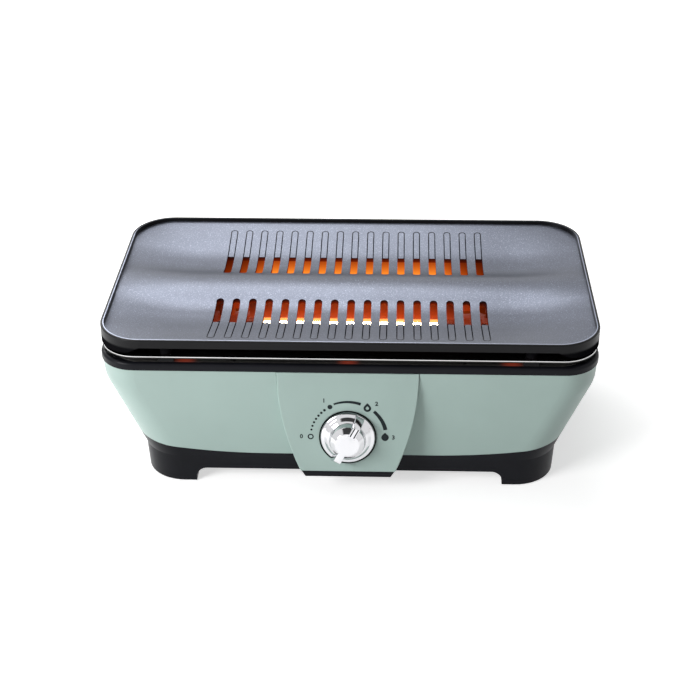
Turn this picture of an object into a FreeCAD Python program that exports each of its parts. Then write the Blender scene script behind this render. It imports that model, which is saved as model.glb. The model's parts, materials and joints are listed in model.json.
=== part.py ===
"""Electric table grill: cast wave plate on a steel drip tray, quartz tube heaters, moulded body.

Millimetres, +Z up, +X to the right of a person facing the knob, -Y towards that person.
Pieces are drawn about the middle of the body and moved back at the end, so that the
origin is on the table, in the middle of the footprint with the knob.
"""
import FreeCAD, Part
import math
import os

from FreeCAD import Vector

os.makedirs("parts", exist_ok=True)

# Cooking plate
plate_length = 525.0
plate_depth = 298.0
half_length = plate_length / 2
half_depth = plate_depth / 2
plate_top = 181.0
plate_corner = 47.0
plate_wall = 5.0
rim_width = 3.5
rim_height = 3.8
rim_rounding = 1.3
skirt_wall = 4.0
skirt_bottom = plate_top - 9.0
skirt_corner = plate_top - 15.7
skirt_side = plate_top - 19.4
skirt_ramp_start = half_length - 46.5
skirt_ramp_run = 13.0

# Wave of the plate, seen from the end
ridge_height = 10.6
ridge_half = 54.0
valley_outer = 66.0
slope_radius = 120.0
slope_angle = 11.5
wave_full = half_length - 98.5
wave_gone = half_length + 52.5
wave_steps = 4

# Slots and grooves of the plate
slot_count = 17
slot_pitch = 18.0
slot_width = 8.4
slot_inner = 30.4
slot_outer = 77.6
groove_outer = 128.4
groove_depth = 0.9
groove_width = 0.9
plate_foot_radius = 6.0
plate_foot_inset = 4.0
plate_foot_x = half_length - 72.5

# Top frame
frame_bottom = plate_top - 36.0
frame_height = 8.5
frame_top = frame_bottom + frame_height
frame_half_length = half_length
frame_half_depth = half_depth - 0.5
frame_corner = 38.5
frame_lip = 4.0
frame_rounding = 3.2
ledge_top = frame_top - 3.5
ledge_thickness = 3.5
ledge_inset = 18.5
ledge_softness = 10.0
tongue_height = 6.0
tongue_thickness = 2.0

# Body form, one smooth tapered shape shared by shell and base
body_top_length = frame_half_length - 1.0
body_top_depth = frame_half_depth - 0.5
bend_height = frame_bottom - 20.0
bend_length = body_top_length - 1.0
bend_depth = body_top_depth - 0.8
crease_height = 33.0
crease_length = bend_length - 35.3
crease_depth = bend_depth - 6.8
foot_length = crease_length - 1.7
foot_depth = crease_depth - 0.4
body_top_corner = frame_corner - 0.5
body_foot_corner = body_top_corner + 6.0
bend_softness = 6.0
shell_wall = 2.4
base_wall = 3.0

# Line where the shell ends and the base begins
smile_low = 38.0
smile_flat = 88.0
smile_radius = 700.0

# Base and feet
base_top = 75.0
arch_height = 17.2
leg_inner_x = foot_length - 57.5
leg_inner_y = foot_depth - 56.0
arch_fillet = 12.0
leg_wall = 3.0
pad_radius = 9.0
pad_thickness = 3.0
pad_proud = 0.8
pad_play = 1.2
pad_x = foot_length - 27.5
pad_y = foot_depth - 28.0
floor_plate_bottom = 20.0
floor_plate_sheet = 1.0
floor_ledge = 1.5
floor_vent_count = 9
floor_vent_pitch = 14.0
floor_vent_y = 60.0
floor_vent_width = 4.0
floor_vent_length = 44.0
boss_radius = 4.5
boss_corner_x = foot_length - 47.5
boss_corner_y = foot_depth - 36.0
boss_side_x = 96.0
boss_side_inset = 10.5

# Drip tray
tray_flange_top = frame_top + 6.5
tray_half_length = frame_half_length - 2.5
tray_half_depth = frame_half_depth - 3.5
tray_corner = frame_corner - 0.5
tray_sheet = 0.7
tray_hem = 2.2
tray_mouth_length = tray_half_length - 24.0
tray_mouth_depth = tray_half_depth - 21.0
tray_mouth_corner = 26.0
tray_floor = 58.0
tray_floor_length = tray_mouth_length - 28.0
tray_floor_depth = tray_mouth_depth - 13.0
tray_floor_corner = 20.0
collar_top = frame_bottom - 27.0
collar_length = tray_floor_length - 42.0
collar_depth = 40.0
collar_foot_length = collar_length + 8.0
collar_foot_depth = collar_depth + 10.0
collar_corner = 8.0
vent_spacing = tray_half_length - 90.0
vent_width = 28.0
vent_height = 6.0
vent_centre = tray_flange_top - 5.5

# Liner
liner_sheet = 0.6
liner_floor = tray_floor - 12.0
liner_mouth_length = bend_length - 19.5
liner_mouth_depth = bend_depth - 18.7
liner_mouth_corner = 29.0
liner_floor_length = liner_mouth_length - 26.0
liner_floor_depth = liner_mouth_depth - 12.5
liner_floor_corner = 24.0
liner_flange = 12.0

# Heater unit
stand_top = collar_top
stand_half_width = 30.0
stand_half_length = collar_length - 6.0
stand_sheet = 1.2
stand_foot = 7.0
stand_window_count = 6
stand_window_pitch = 46.0
stand_window_length = 30.0
stand_window_inset = 22.0
tube_y = 23.0
tube_z = stand_top + 15.6
tube_radius = 5.5
tube_glass = 1.0
tube_half_length = stand_half_length - 30.0
filament_half_length = tube_half_length - 32.0
filament_width = 4.6
filament_thickness = 1.2
lead_pin_radius = 0.8
lead_pin_hold = 4.0
cap_radius = 7.2
cap_length = 26.0
cap_overlap = 12.0
reflector_radius = 17.5
reflector_sheet = 0.6
reflector_half_length = tube_half_length - 14.0
reflector_crest = tube_z + 18.9
reflector_lip_angle = 20.0
reflector_lip_fall = 25.0
reflector_lip = 2.6
bracket_x = tube_half_length + 6.0
bracket_sheet = 1.2
bracket_half_width = 33.0
bracket_top = tube_z + 10.4
bracket_foot = 11.0
bracket_dip = 9.0
bracket_play = 0.05
lead_radius = 1.3
lead_bend = 6.0
lead_hole_play = 1.0
terminal_half_width = 27.0
terminal_half_length = 8.0
terminal_height = 15.0
terminal_groove = 2.0
terminal_groove_depth = 3.0
terminal_groove_y = 9.0

# Screws and their holes
screw_radius = 1.4
screw_pilot = 1.45
screw_hole = 1.5
wide_screw_hole = 1.8
screw_recess = 0.7
floor_head_radius = 3.4
floor_head_height = 1.9
floor_screw_length = 10.0
head_radius = 2.8
head_height = 1.6
sheet_screw_length = 4.0
bracket_screw_length = 5.0
inlet_screw_length = 8.0
panel_head_radius = 2.6
panel_head_height = 1.4
panel_screw_radius = 1.2
panel_screw_length = 3.4
frame_screw_x = liner_mouth_length - 121.0
stand_screw_x = stand_half_length - 50.0

# Thermal cut-out and fuse under the liner
cutout_x = 60.0
cutout_radius = 8.0
cutout_height = 9.0
cutout_flange_length = 24.0
cutout_flange_width = 12.0
cutout_flange_sheet = 0.8
cutout_tab_x = 4.0
cutout_tab_width = 4.8
cutout_tab_length = 6.0
tab_sheet = 0.8
fuse_x = 64.0
fuse_radius = 2.0
fuse_half_length = 6.0
fuse_pin_radius = 0.5
fuse_pin_length = 10.0
strap_width = 6.0
strap_sheet = 0.6
strap_half_length = 9.0

# Control panel, knob and switch
panel_top_half = 74.3
panel_foot_half = 50.4
panel_foot_height = 32.0
panel_tilt = 8.23
panel_wall = 2.5
panel_gap = 0.5
panel_flange = 6.0
panel_flange_sheet = 2.0
panel_flange_foot = 56.0
panel_flange_top_gap = 8.0
panel_screw_low = 66.0
panel_screw_high = 112.0
panel_rounding = 1.0
strip_height = 6.5
strip_inset = 1.2
strip_wall = 1.8
strip_shoulder = 0.8
strip_slope = 4.2
knob_height = 72.5
ring_outer = 30.4
ring_inner = 29.0
ring_thickness = 1.2
knob_radius = 28.5
knob_lift = 1.0
knob_reach = 20.5
knob_wall = 1.8
knob_roof = 4.0
core_radius = 14.0
core_thickness = 2.5
bar_width = 10.5
bar_half_length = 29.0
bar_reach = 21.3
bar_rounding = 1.2
pointer_line_start = 11.0
pointer_line_y = 2.0
pointer_line_width = 1.0
pointer_line_depth = 0.6
pointer_angle = 62.0
shaft_radius = 3.0
shaft_play = 0.05
hub_radius = 6.5
bush_radius = 4.5
bush_reach = 6.0
nut_radius = 7.0
nut_height = 3.2
shaft_flat = 1.2
shaft_foot = 4.0
switch_size = 32.0
switch_depth = 17.0
switch_corner = 3.0

# Power inlet at the back
inlet_x = half_length - 112.5
inlet_z = 82.0
inlet_width = 60.0
inlet_height = 26.0
inlet_face = bend_depth - 0.2
inlet_body_width = 40.0
inlet_body_height = 21.0
inlet_depth = 19.0
inlet_corner = 4.0
inlet_body_play = 0.2
inlet_pin_tail = 4.0
inlet_pin_recess = 3.0
socket_width = 34.0
socket_height = 13.0
socket_depth = 11.0
inlet_pin_radius = 2.0
inlet_pin_spacing = 16.0

# Tabs and wires
tab_x = 8.0
tab_y = 9.0
tab_length = 6.0
wire_radius = 1.2
wire_bend = 4.0
wire_low_z = 26.0
wire_mid_z = 30.0
wire_high_z = 34.0
wire_front_y = foot_depth - 18.0
wire_rise_x = stand_half_length - 10.0
wire_rise_y = 18.0
wire_back_y = 60.0
wire_side_x = 20.0
bush_hole = 2.6
bush_collar = 1.5
bush_collar_height = 2.0
wire_play = 0.1
tab_width = 6.0

# Clearances
running_gap = 0.3
seat_gap = 0.3

tilt = math.radians(panel_tilt)


def box(x0, x1, y0, y1, z0, z1):
    """A block between two corners."""
    return Part.makeBox(x1 - x0, y1 - y0, z1 - z0, Vector(x0, y0, z0))


def cylinder(radius, start, direction, length):
    """A round bar from a point along a direction."""
    return Part.makeCylinder(radius, length, start, direction)


def rounded_outline(half_x, half_y, radius, z):
    """Closed wire of a rectangle with round corners, at one height."""
    corner = radius * math.sqrt(0.5)
    edges = []
    signs = [(1, 1), (-1, 1), (-1, -1), (1, -1)]
    for index, (sx, sy) in enumerate(signs):
        cx = sx * (half_x - radius)
        cy = sy * (half_y - radius)
        along_x = Vector(cx + sx * radius, cy, z)
        along_y = Vector(cx, cy + sy * radius, z)
        middle = Vector(cx + sx * corner, cy + sy * corner, z)
        first, last = (along_x, along_y) if index % 2 == 0 else (along_y, along_x)
        edges.append(Part.Arc(first, middle, last).toShape())
        nx, ny = signs[(index + 1) % 4]
        if index % 2 == 0:
            following = Vector(nx * (half_x - radius), cy + sy * radius, z)
        else:
            following = Vector(cx + sx * radius, ny * (half_y - radius), z)
        edges.append(Part.LineSegment(last, following).toShape())
    return Part.Wire(edges)


def rounded_block(half_x, half_y, radius, z0, z1):
    """A straight-sided block with round corners."""
    face = Part.Face(rounded_outline(half_x, half_y, radius, z0))
    return face.extrude(Vector(0, 0, z1 - z0))


def tapered_block(sections):
    """A block through rounded outlines given as (half_x, half_y, radius, z), lowest first."""
    wires = [rounded_outline(*section) for section in sections]
    return Part.makeLoft(wires, True, True)


def prism_along_y(points, y0, y1):
    """A prism whose outline is given as (x, z) pairs."""
    outline = [Vector(x, y0, z) for x, z in points]
    wire = Part.makePolygon(outline + [outline[0]])
    return Part.Face(wire).extrude(Vector(0, y1 - y0, 0))


def prism_along_x(points, x0, x1):
    """A prism whose outline is given as (y, z) pairs."""
    outline = [Vector(x0, y, z) for y, z in points]
    wire = Part.makePolygon(outline + [outline[0]])
    return Part.Face(wire).extrude(Vector(x1 - x0, 0, 0))


def mirrored_y(shape):
    """The same shape on the other side, front to back."""
    return shape.mirror(Vector(0, 0, 0), Vector(0, 1, 0))


def mirrored_x(shape):
    """The same shape on the other side, left to right."""
    return shape.mirror(Vector(0, 0, 0), Vector(1, 0, 0))


def four_corners(shape):
    """The shape and its copies at the other three corners."""
    pair = [shape, mirrored_x(shape)]
    return pair + [mirrored_y(one) for one in pair]


# Cooking plate

def wave_strength(x):
    """How much of the wave is left at a distance from the middle, from 1 down."""
    share = max(0.0, (abs(x) - wave_full) / (wave_gone - wave_full))
    return 0.5 + 0.5 * math.cos(math.pi * share)


def wave_heights(x):
    """Radii and heights of the wave's arcs at one x."""
    strength = wave_strength(x)
    angle = math.radians(slope_angle) * strength
    arc_run = slope_radius * math.sin(math.radians(slope_angle))
    arc_rise = arc_run * math.tan(angle / 2)
    slope_run = half_depth - rim_width - valley_outer - arc_run
    valley = plate_top - rim_height - arc_rise - slope_run * math.tan(angle)
    return ridge_height * strength, angle, arc_run, arc_rise, valley


def wave_outline(x, drop, reach, closing_z):
    """Closed wire at one x: the wave from edge to edge, then round by a height above or below it."""
    rise, angle, arc_run, arc_rise, valley = wave_heights(x)
    valley -= drop
    quarter = ridge_half / 2
    ridge_radius = (quarter ** 2 + (rise / 2) ** 2) / rise
    half_way = math.asin(quarter / ridge_radius) / 2
    bend_y = ridge_radius * math.sin(half_way)
    bend_z = ridge_radius * (1 - math.cos(half_way))
    outer_radius = arc_run / math.sin(angle)
    outer_y = outer_radius * math.sin(angle / 2)
    outer_z = outer_radius * (1 - math.cos(angle / 2))
    slope_z = valley + arc_rise + (reach - valley_outer - arc_run) * math.tan(angle)

    def at(side, y, z):
        return Vector(x, side * y, z)

    edges = [Part.LineSegment(at(-1, reach, slope_z),
                              at(-1, valley_outer + arc_run, valley + arc_rise)).toShape()]
    edges.append(Part.Arc(at(-1, valley_outer + arc_run, valley + arc_rise),
                          at(-1, valley_outer + outer_y, valley + outer_z),
                          at(-1, valley_outer, valley)).toShape())
    edges.append(Part.LineSegment(at(-1, valley_outer, valley), at(-1, ridge_half, valley)).toShape())
    edges.append(Part.Arc(at(-1, ridge_half, valley), at(-1, ridge_half - bend_y, valley + bend_z),
                          at(-1, quarter, valley + rise / 2)).toShape())
    edges.append(Part.Arc(at(-1, quarter, valley + rise / 2), at(1, 0, valley + rise),
                          at(1, quarter, valley + rise / 2)).toShape())
    edges.append(Part.Arc(at(1, quarter, valley + rise / 2), at(1, ridge_half - bend_y, valley + bend_z),
                          at(1, ridge_half, valley)).toShape())
    edges.append(Part.LineSegment(at(1, ridge_half, valley), at(1, valley_outer, valley)).toShape())
    edges.append(Part.Arc(at(1, valley_outer, valley), at(1, valley_outer + outer_y, valley + outer_z),
                          at(1, valley_outer + arc_run, valley + arc_rise)).toShape())
    edges.append(Part.LineSegment(at(1, valley_outer + arc_run, valley + arc_rise),
                                  at(1, reach, slope_z)).toShape())
    edges.append(Part.LineSegment(at(1, reach, slope_z), at(1, reach, closing_z)).toShape())
    edges.append(Part.LineSegment(at(1, reach, closing_z), at(-1, reach, closing_z)).toShape())
    edges.append(Part.LineSegment(at(-1, reach, closing_z), at(-1, reach, slope_z)).toShape())
    return Part.Wire(edges)


def wave_space(drop, closing_z):
    """The spaces above or below the wave: a straight middle and two fading ends."""
    reach = half_depth + 1
    middle = Part.Face(wave_outline(-wave_full, drop, reach, closing_z))
    spaces = [middle.extrude(Vector(2 * wave_full, 0, 0))]
    step = (half_length + 1 - wave_full) / wave_steps
    fading = [wave_outline(wave_full + i * step, drop, reach, closing_z) for i in range(wave_steps + 1)]
    end = Part.makeLoft(fading, True, False)
    return spaces + [end, mirrored_x(end)]


def slot_bar(x, side, start, end, rounded_end, z0, z1, inset=0.0):
    """A block as wide as a slot less an inset, rounded at one of its ends, front (-1) or back (1)."""
    half = slot_width / 2 - inset
    if rounded_end == "inner":
        centre = start + half
        low, high = centre, end
    else:
        centre = end - half
        low, high = start, centre
    y0, y1 = sorted((side * low, side * high))
    block = box(x - half, x + half, y0, y1, z0, z1)
    return block.fuse(cylinder(half, Vector(x, side * centre, z0), Vector(0, 0, 1), z1 - z0))


def slot_places():
    """The x of each slot in a row."""
    first = -(slot_count - 1) / 2 * slot_pitch
    return [first + i * slot_pitch for i in range(slot_count)]


def skirt_relief(lowest):
    """What is cut from under the skirt: raised along the long sides, lower round the corners."""
    ramp_end = skirt_ramp_start + skirt_ramp_run
    far = half_length + 1
    half_line = [(skirt_ramp_start, skirt_bottom), (ramp_end, skirt_corner), (half_length, skirt_side),
                 (far, skirt_side)]
    points = half_line + [(far, lowest), (-far, lowest)]
    points += [(-x, z) for x, z in reversed(half_line)]
    return prism_along_y(points, -half_depth - 1, half_depth + 1)


def cooking_plate():
    """Cast plate: rim, skirt, wave, slots, grooves and four feet."""
    lowest = wave_heights(0)[4] - plate_wall - 1
    plate = rounded_block(half_length, half_depth, plate_corner, lowest, plate_top)
    top_edges = [e for e in plate.Edges if e.BoundBox.ZMin > plate_top - 0.01]
    plate = plate.makeFillet(rim_rounding, top_edges)
    inside = rounded_block(half_length - rim_width, half_depth - rim_width, plate_corner - rim_width,
                           lowest, plate_top + 2)
    under = rounded_block(half_length - skirt_wall, half_depth - skirt_wall, plate_corner - skirt_wall,
                          lowest - 2, plate_top + 2)
    for space in wave_space(0, plate_top + 1):
        plate = plate.cut(space.common(inside))
    for space in wave_space(plate_wall, lowest - 1):
        plate = plate.cut(space.common(under))
    plate = plate.cut(skirt_relief(lowest - 1).cut(under))
    foot_y = half_depth - skirt_wall - plate_foot_radius - plate_foot_inset
    foot = cylinder(plate_foot_radius, Vector(plate_foot_x, foot_y, tray_flange_top + seat_gap),
                    Vector(0, 0, 1), plate_top - rim_height - plate_wall / 2 - 3 - tray_flange_top)
    plate = plate.fuse(four_corners(foot))
    openings = []
    grooves = []
    for x in slot_places():
        for side in (-1, 1):
            openings.append(slot_bar(x, side, slot_inner, slot_outer, "inner", lowest, plate_top))
            groove = slot_bar(x, side, slot_outer, groove_outer, "outer", lowest, plate_top)
            land = slot_bar(x, side, slot_outer - 1, groove_outer - groove_width, "outer",
                            lowest - 1, plate_top + 1, groove_width)
            grooves.append(groove.cut(land))
    channel = wave_space(groove_depth, plate_top + 1)[0]
    plate = plate.cut(Part.makeCompound(openings))
    return plate.cut(channel.common(Part.makeCompound(grooves)))


# Drip tray

def tray_wall_depth(z):
    """Outer half depth of the tray's wall at a height."""
    share = (z - tray_floor) / (tray_flange_top - tray_floor)
    return tray_floor_depth + share * (tray_mouth_depth - tray_floor_depth)


def tray_form(inset, z0, z1):
    """The tray's tapered outer form, drawn in by an inset."""
    share0 = (z0 - tray_floor) / (tray_flange_top - tray_floor)
    share1 = (z1 - tray_floor) / (tray_flange_top - tray_floor)
    sections = []
    for share, z in ((share0, z0), (share1, z1)):
        sections.append((tray_floor_length + share * (tray_mouth_length - tray_floor_length) - inset,
                         tray_floor_depth + share * (tray_mouth_depth - tray_floor_depth) - inset,
                         tray_floor_corner + share * (tray_mouth_corner - tray_floor_corner) - inset,
                         z))
    return tapered_block(sections)


def drip_tray():
    """Steel pan with a rolled flange, vents under it and a long collar round the heaters."""
    sheet = tray_sheet
    tray = tray_form(0, tray_floor, tray_flange_top)
    flange = rounded_block(tray_half_length, tray_half_depth, tray_corner,
                           tray_flange_top - sheet, tray_flange_top)
    hem = rounded_block(tray_half_length, tray_half_depth, tray_corner,
                        tray_flange_top - tray_hem, tray_flange_top)
    hem = hem.cut(rounded_block(tray_half_length - sheet, tray_half_depth - sheet, tray_corner - sheet,
                                tray_flange_top - tray_hem - 1, tray_flange_top + 1))
    tray = tray.fuse([flange, hem])
    tray = tray.cut(tray_form(sheet, tray_floor + sheet, tray_flange_top + 1))
    outer = tapered_block([(collar_foot_length + sheet, collar_foot_depth + sheet, collar_corner + sheet,
                            tray_floor),
                           (collar_length + sheet, collar_depth + sheet, collar_corner + sheet, collar_top)])
    inner = tapered_block([(collar_foot_length, collar_foot_depth, collar_corner, tray_floor),
                           (collar_length, collar_depth, collar_corner, collar_top)])
    tray = tray.fuse(outer).cut(inner)
    wall = tray_wall_depth(vent_centre)
    vents = []
    for side in (-1, 1):
        for index in (-1, 0, 1):
            y0, y1 = sorted((side * (wall - 4), side * (wall + 4)))
            vents.append(box(index * vent_spacing - vent_width / 2, index * vent_spacing + vent_width / 2,
                             y0, y1, vent_centre - vent_height / 2, vent_centre + vent_height / 2))
    return tray.cut(Part.makeCompound(vents))


def tray_pads():
    """Silicone blocks that carry the tray's flange on the liner's flange."""
    bottom = ledge_top + liner_sheet
    height = tray_flange_top - tray_sheet - seat_gap - bottom
    foot_y = half_depth - skirt_wall - plate_foot_radius - plate_foot_inset
    front = Part.makeBox(16, 8, height, Vector(plate_foot_x - 8, foot_y - 4, bottom))
    side_x = liner_mouth_length + liner_flange / 2
    side = Part.makeBox(8, 16, height, Vector(side_x - 4, 62, bottom))
    return Part.makeCompound(four_corners(front) + four_corners(side))


# Moulded body

def body_profile():
    """Half length, half depth, corner and height of the body's form, lowest first."""
    rows = [(foot_length, foot_depth, body_foot_corner, 0.0),
            (crease_length, crease_depth, body_foot_corner, crease_height)]
    slope_x = (bend_length - crease_length) / (bend_height - crease_height)
    slope_y = (bend_depth - crease_depth) / (bend_height - crease_height)
    for share in (-1.0, -0.35, 0.35, 1.0):
        z = bend_height + share * bend_softness
        blend = (1 - share) ** 2 / 4 * bend_softness
        top_x = (body_top_length - bend_length) / (frame_bottom - bend_height)
        top_y = (body_top_depth - bend_depth) / (frame_bottom - bend_height)
        half_x = bend_length + top_x * share * bend_softness - blend * (slope_x - top_x)
        half_y = bend_depth + top_y * share * bend_softness - blend * (slope_y - top_y)
        rows.append((half_x, half_y, body_top_corner, z))
    rows.append((body_top_length, body_top_depth, body_top_corner, frame_bottom))
    return rows


def body_size(z):
    """Half length, half depth and corner of the body's form at a height."""
    rows = body_profile()
    for low, high in zip(rows, rows[1:]):
        if z <= high[3]:
            share = (z - low[3]) / (high[3] - low[3])
            return [a + share * (b - a) for a, b in zip(low[:3], high[:3])]
    return list(rows[-1][:3])


def body_form(inset, z0, z1):
    """The body's form between two heights, drawn in by an inset."""
    heights = [z0] + [row[3] for row in body_profile() if z0 + 0.01 < row[3] < z1 - 0.01] + [z1]
    sections = []
    for z in heights:
        half_x, half_y, corner = body_size(z)
        sections.append((half_x - inset, half_y - inset, corner - inset, z))
    return tapered_block(sections)


def above_smile():
    """Everything above the line where the shell meets the base."""
    far = body_top_length + 20
    run = far - smile_flat
    rise = smile_radius - math.sqrt(smile_radius ** 2 - run ** 2)
    half_run = smile_radius * math.sin(math.asin(run / smile_radius) / 2)
    half_rise = smile_radius - math.sqrt(smile_radius ** 2 - half_run ** 2)
    y = -half_depth - 40

    def at(x, z):
        return Vector(x, y, z)

    top = plate_top
    edges = [Part.LineSegment(at(-smile_flat, smile_low), at(smile_flat, smile_low)).toShape(),
             Part.Arc(at(smile_flat, smile_low), at(smile_flat + half_run, smile_low + half_rise),
                      at(far, smile_low + rise)).toShape(),
             Part.LineSegment(at(far, smile_low + rise), at(far, top)).toShape(),
             Part.LineSegment(at(far, top), at(-far, top)).toShape(),
             Part.LineSegment(at(-far, top), at(-far, smile_low + rise)).toShape(),
             Part.Arc(at(-far, smile_low + rise), at(-smile_flat - half_run, smile_low + half_rise),
                      at(-smile_flat, smile_low)).toShape()]
    return Part.Face(Part.Wire(edges)).extrude(Vector(0, -2 * y, 0))


def panel_outline(offset, z_top, y):
    """Closed wire of the control panel: straight top and foot, sides on one long arc each."""
    drop = panel_top - panel_foot_height
    draw_in = panel_top_half - panel_foot_half
    radius = (drop ** 2 + draw_in ** 2) / (2 * draw_in)
    centre_x = panel_top_half - radius
    outer = radius + offset
    foot = panel_foot_height - offset
    angle_top = math.asin((z_top - panel_top) / outer)
    angle_foot = -math.asin((panel_top - foot) / outer)

    def on_arc(side, angle):
        return Vector(side * (centre_x + outer * math.cos(angle)), y, panel_top + outer * math.sin(angle))

    middle = (angle_top + angle_foot) / 2
    corners = [on_arc(1, angle_foot), on_arc(1, angle_top), on_arc(-1, angle_top), on_arc(-1, angle_foot)]
    edges = [Part.Arc(corners[0], on_arc(1, middle), corners[1]).toShape(),
             Part.LineSegment(corners[1], corners[2]).toShape(),
             Part.Arc(corners[2], on_arc(-1, middle), corners[3]).toShape(),
             Part.LineSegment(corners[3], corners[0]).toShape()]
    return Part.Wire(edges)


def panel_prism(offset, z_top, y0, y1):
    """The control panel's outline, grown by an offset, carried from y0 back to y1."""
    return Part.Face(panel_outline(offset, z_top, y0)).extrude(Vector(0, y1 - y0, 0))


def panel_face_y(z):
    """Where the control panel's face stands at a height."""
    return -frame_half_depth - (panel_top - z) * math.tan(tilt)


def before_panel(depth):
    """Everything in front of the panel's tilted face, or of a plane set back from it."""
    setback = depth / math.cos(tilt)
    low = -20.0
    high = panel_top + 40
    front = -frame_half_depth - 90
    points = [(front, low), (panel_face_y(low) + setback, low), (panel_face_y(high) + setback, high),
              (front, high)]
    return prism_along_x(points, -half_length, half_length)


def strip_prism(offset, y0, y1):
    """Outline of the dark strip under the control panel."""
    top_half = panel_foot_half - strip_shoulder + offset
    low_half = top_half - strip_slope
    z1 = panel_foot_height + offset
    z0 = panel_foot_height - strip_height - offset
    return prism_along_y([(-low_half, z0), (low_half, z0), (top_half, z1), (-top_half, z1)], y0, y1)


def panel_window():
    """The opening in the front of the shell and base that the panel and its strip stand in."""
    y0 = -frame_half_depth - 60
    y1 = -foot_depth + 14
    return panel_prism(panel_gap, frame_bottom + 1, y0, y1).fuse(strip_prism(panel_gap, y0, y1))


def inlet_hole():
    """The opening for the power inlet's body in the back of the shell."""
    half = inlet_body_width / 2 + inlet_body_play
    height = inlet_body_height / 2 + inlet_body_play
    return box(inlet_x - half, inlet_x + half, foot_depth - 12, half_depth + 5,
               inlet_z - height, inlet_z + height)


def inlet_screw_places():
    """The inlet's two screws, left and right of its body."""
    offset = (inlet_width + inlet_body_width) / 4
    return [inlet_x - offset, inlet_x + offset]


def body_shell():
    """Green shell, tapered downwards, open for the panel and the inlet."""
    shell = body_form(0, 10, frame_bottom).cut(body_form(shell_wall, 9, frame_bottom))
    shell = shell.common(above_smile()).cut(panel_window()).cut(inlet_hole())
    for x in inlet_screw_places():
        shell = shell.cut(cylinder(screw_pilot, Vector(x, foot_depth - 5, inlet_z), Vector(0, 1, 0), 15))
    return shell


def arch(half_width, reach):
    """The space between two legs, with round upper corners, carried along Y."""
    top = arch_height
    start = top - arch_fillet
    corner = arch_fillet * (1 - math.sqrt(0.5))
    left = -half_width
    right = half_width

    def at(x, z):
        return Vector(x, -reach, z)

    edges = [Part.LineSegment(at(left, -5), at(left, start)).toShape(),
             Part.Arc(at(left, start), at(left + corner, top - corner),
                      at(left + arch_fillet, top)).toShape(),
             Part.LineSegment(at(left + arch_fillet, top), at(right - arch_fillet, top)).toShape(),
             Part.Arc(at(right - arch_fillet, top), at(right - corner, top - corner),
                      at(right, start)).toShape(),
             Part.LineSegment(at(right, start), at(right, -5)).toShape(),
             Part.LineSegment(at(right, -5), at(left, -5)).toShape()]
    return Part.Face(Part.Wire(edges)).extrude(Vector(0, 2 * reach, 0))


def base_screw_places():
    """Where the floor plate is screwed to the base."""
    corner = [(sx * boss_corner_x, sy * boss_corner_y) for sx in (-1, 1) for sy in (-1, 1)]
    side_y = foot_depth - boss_side_inset
    long_sides = [(sx * boss_side_x, sy * side_y) for sx in (-1, 1) for sy in (-1, 1)]
    return corner + long_sides


def base_frame():
    """Black base: a skirt with four hollow legs and the bosses that take the floor plate."""
    base = body_form(0, pad_proud, base_top).cut(above_smile())
    base = base.cut(body_form(base_wall, pad_proud - 1, base_top + 1))
    base = base.cut(arch(leg_inner_x, half_depth + 5))
    side_arch = arch(leg_inner_y, half_length + 5)
    side_arch.rotate(Vector(0, 0, 0), Vector(0, 0, 1), 90)
    base = base.cut(side_arch)
    top = floor_plate_bottom - floor_ledge
    inner_form = body_form(base_wall - 0.5, pad_proud, top)
    leg = box(leg_inner_x, half_length, leg_inner_y, half_depth, pad_proud, top)
    hollow = box(leg_inner_x + leg_wall, half_length, leg_inner_y + leg_wall, half_depth,
                 pad_proud + pad_thickness + pad_play, top + 1)
    leg = leg.cut(hollow.common(body_form(base_wall, pad_proud, top)))
    leg = leg.common(inner_form)
    base = base.fuse(four_corners(leg))
    pads = [cylinder(pad_radius, Vector(pad_x, pad_y, pad_proud - 1), Vector(0, 0, 1),
                     pad_thickness - pad_proud + 1)]
    base = base.cut(Part.makeCompound(four_corners(pads[0])))
    base = base.cut(panel_window())
    boss_bottom = floor_plate_bottom + floor_plate_sheet
    boss_top = smile_low - 1
    for x, y in base_screw_places():
        boss = cylinder(boss_radius, Vector(x, y, boss_bottom), Vector(0, 0, 1), boss_top - boss_bottom)
        reach = abs(y) + 40
        y0, y1 = sorted((y, math.copysign(reach, y)))
        rib = box(x - 1.2, x + 1.2, y0, y1, boss_bottom, boss_top)
        rib = rib.common(body_form(base_wall - 0.5, boss_bottom, boss_top))
        base = base.fuse([boss, rib])
    for x, y in base_screw_places():
        base = base.cut(cylinder(screw_pilot, Vector(x, y, boss_bottom - 1), Vector(0, 0, 1),
                                 floor_screw_length + 2))
    return base


def rubber_feet():
    """Rubber pads pressed into the legs' soles."""
    pad = cylinder(pad_radius, Vector(pad_x, pad_y, 0), Vector(0, 0, 1), pad_thickness)
    return Part.makeCompound(four_corners(pad))


def floor_plate():
    """Sheet-steel floor with cooling slots, screwed up under the base's bosses."""
    half_x, half_y, corner = body_size(floor_plate_bottom)
    inset = base_wall + running_gap
    plate = rounded_block(half_x - inset, half_y - inset, corner - inset, floor_plate_bottom,
                          floor_plate_bottom + floor_plate_sheet)
    cuts = [strip_prism(panel_gap + 1, -half_depth - 60, -foot_depth + 16)]
    for index in range(floor_vent_count):
        x = (index - (floor_vent_count - 1) / 2) * floor_vent_pitch
        for y in (-floor_vent_y, floor_vent_y):
            cuts.append(box(x - floor_vent_width / 2, x + floor_vent_width / 2,
                            y - floor_vent_length / 2, y + floor_vent_length / 2,
                            floor_plate_bottom - 1, floor_plate_bottom + floor_plate_sheet + 1))
    for x, y in base_screw_places():
        cuts.append(cylinder(wide_screw_hole, Vector(x, y, floor_plate_bottom - 1), Vector(0, 0, 1), 4))
    return plate.cut(Part.makeCompound(cuts))


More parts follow.
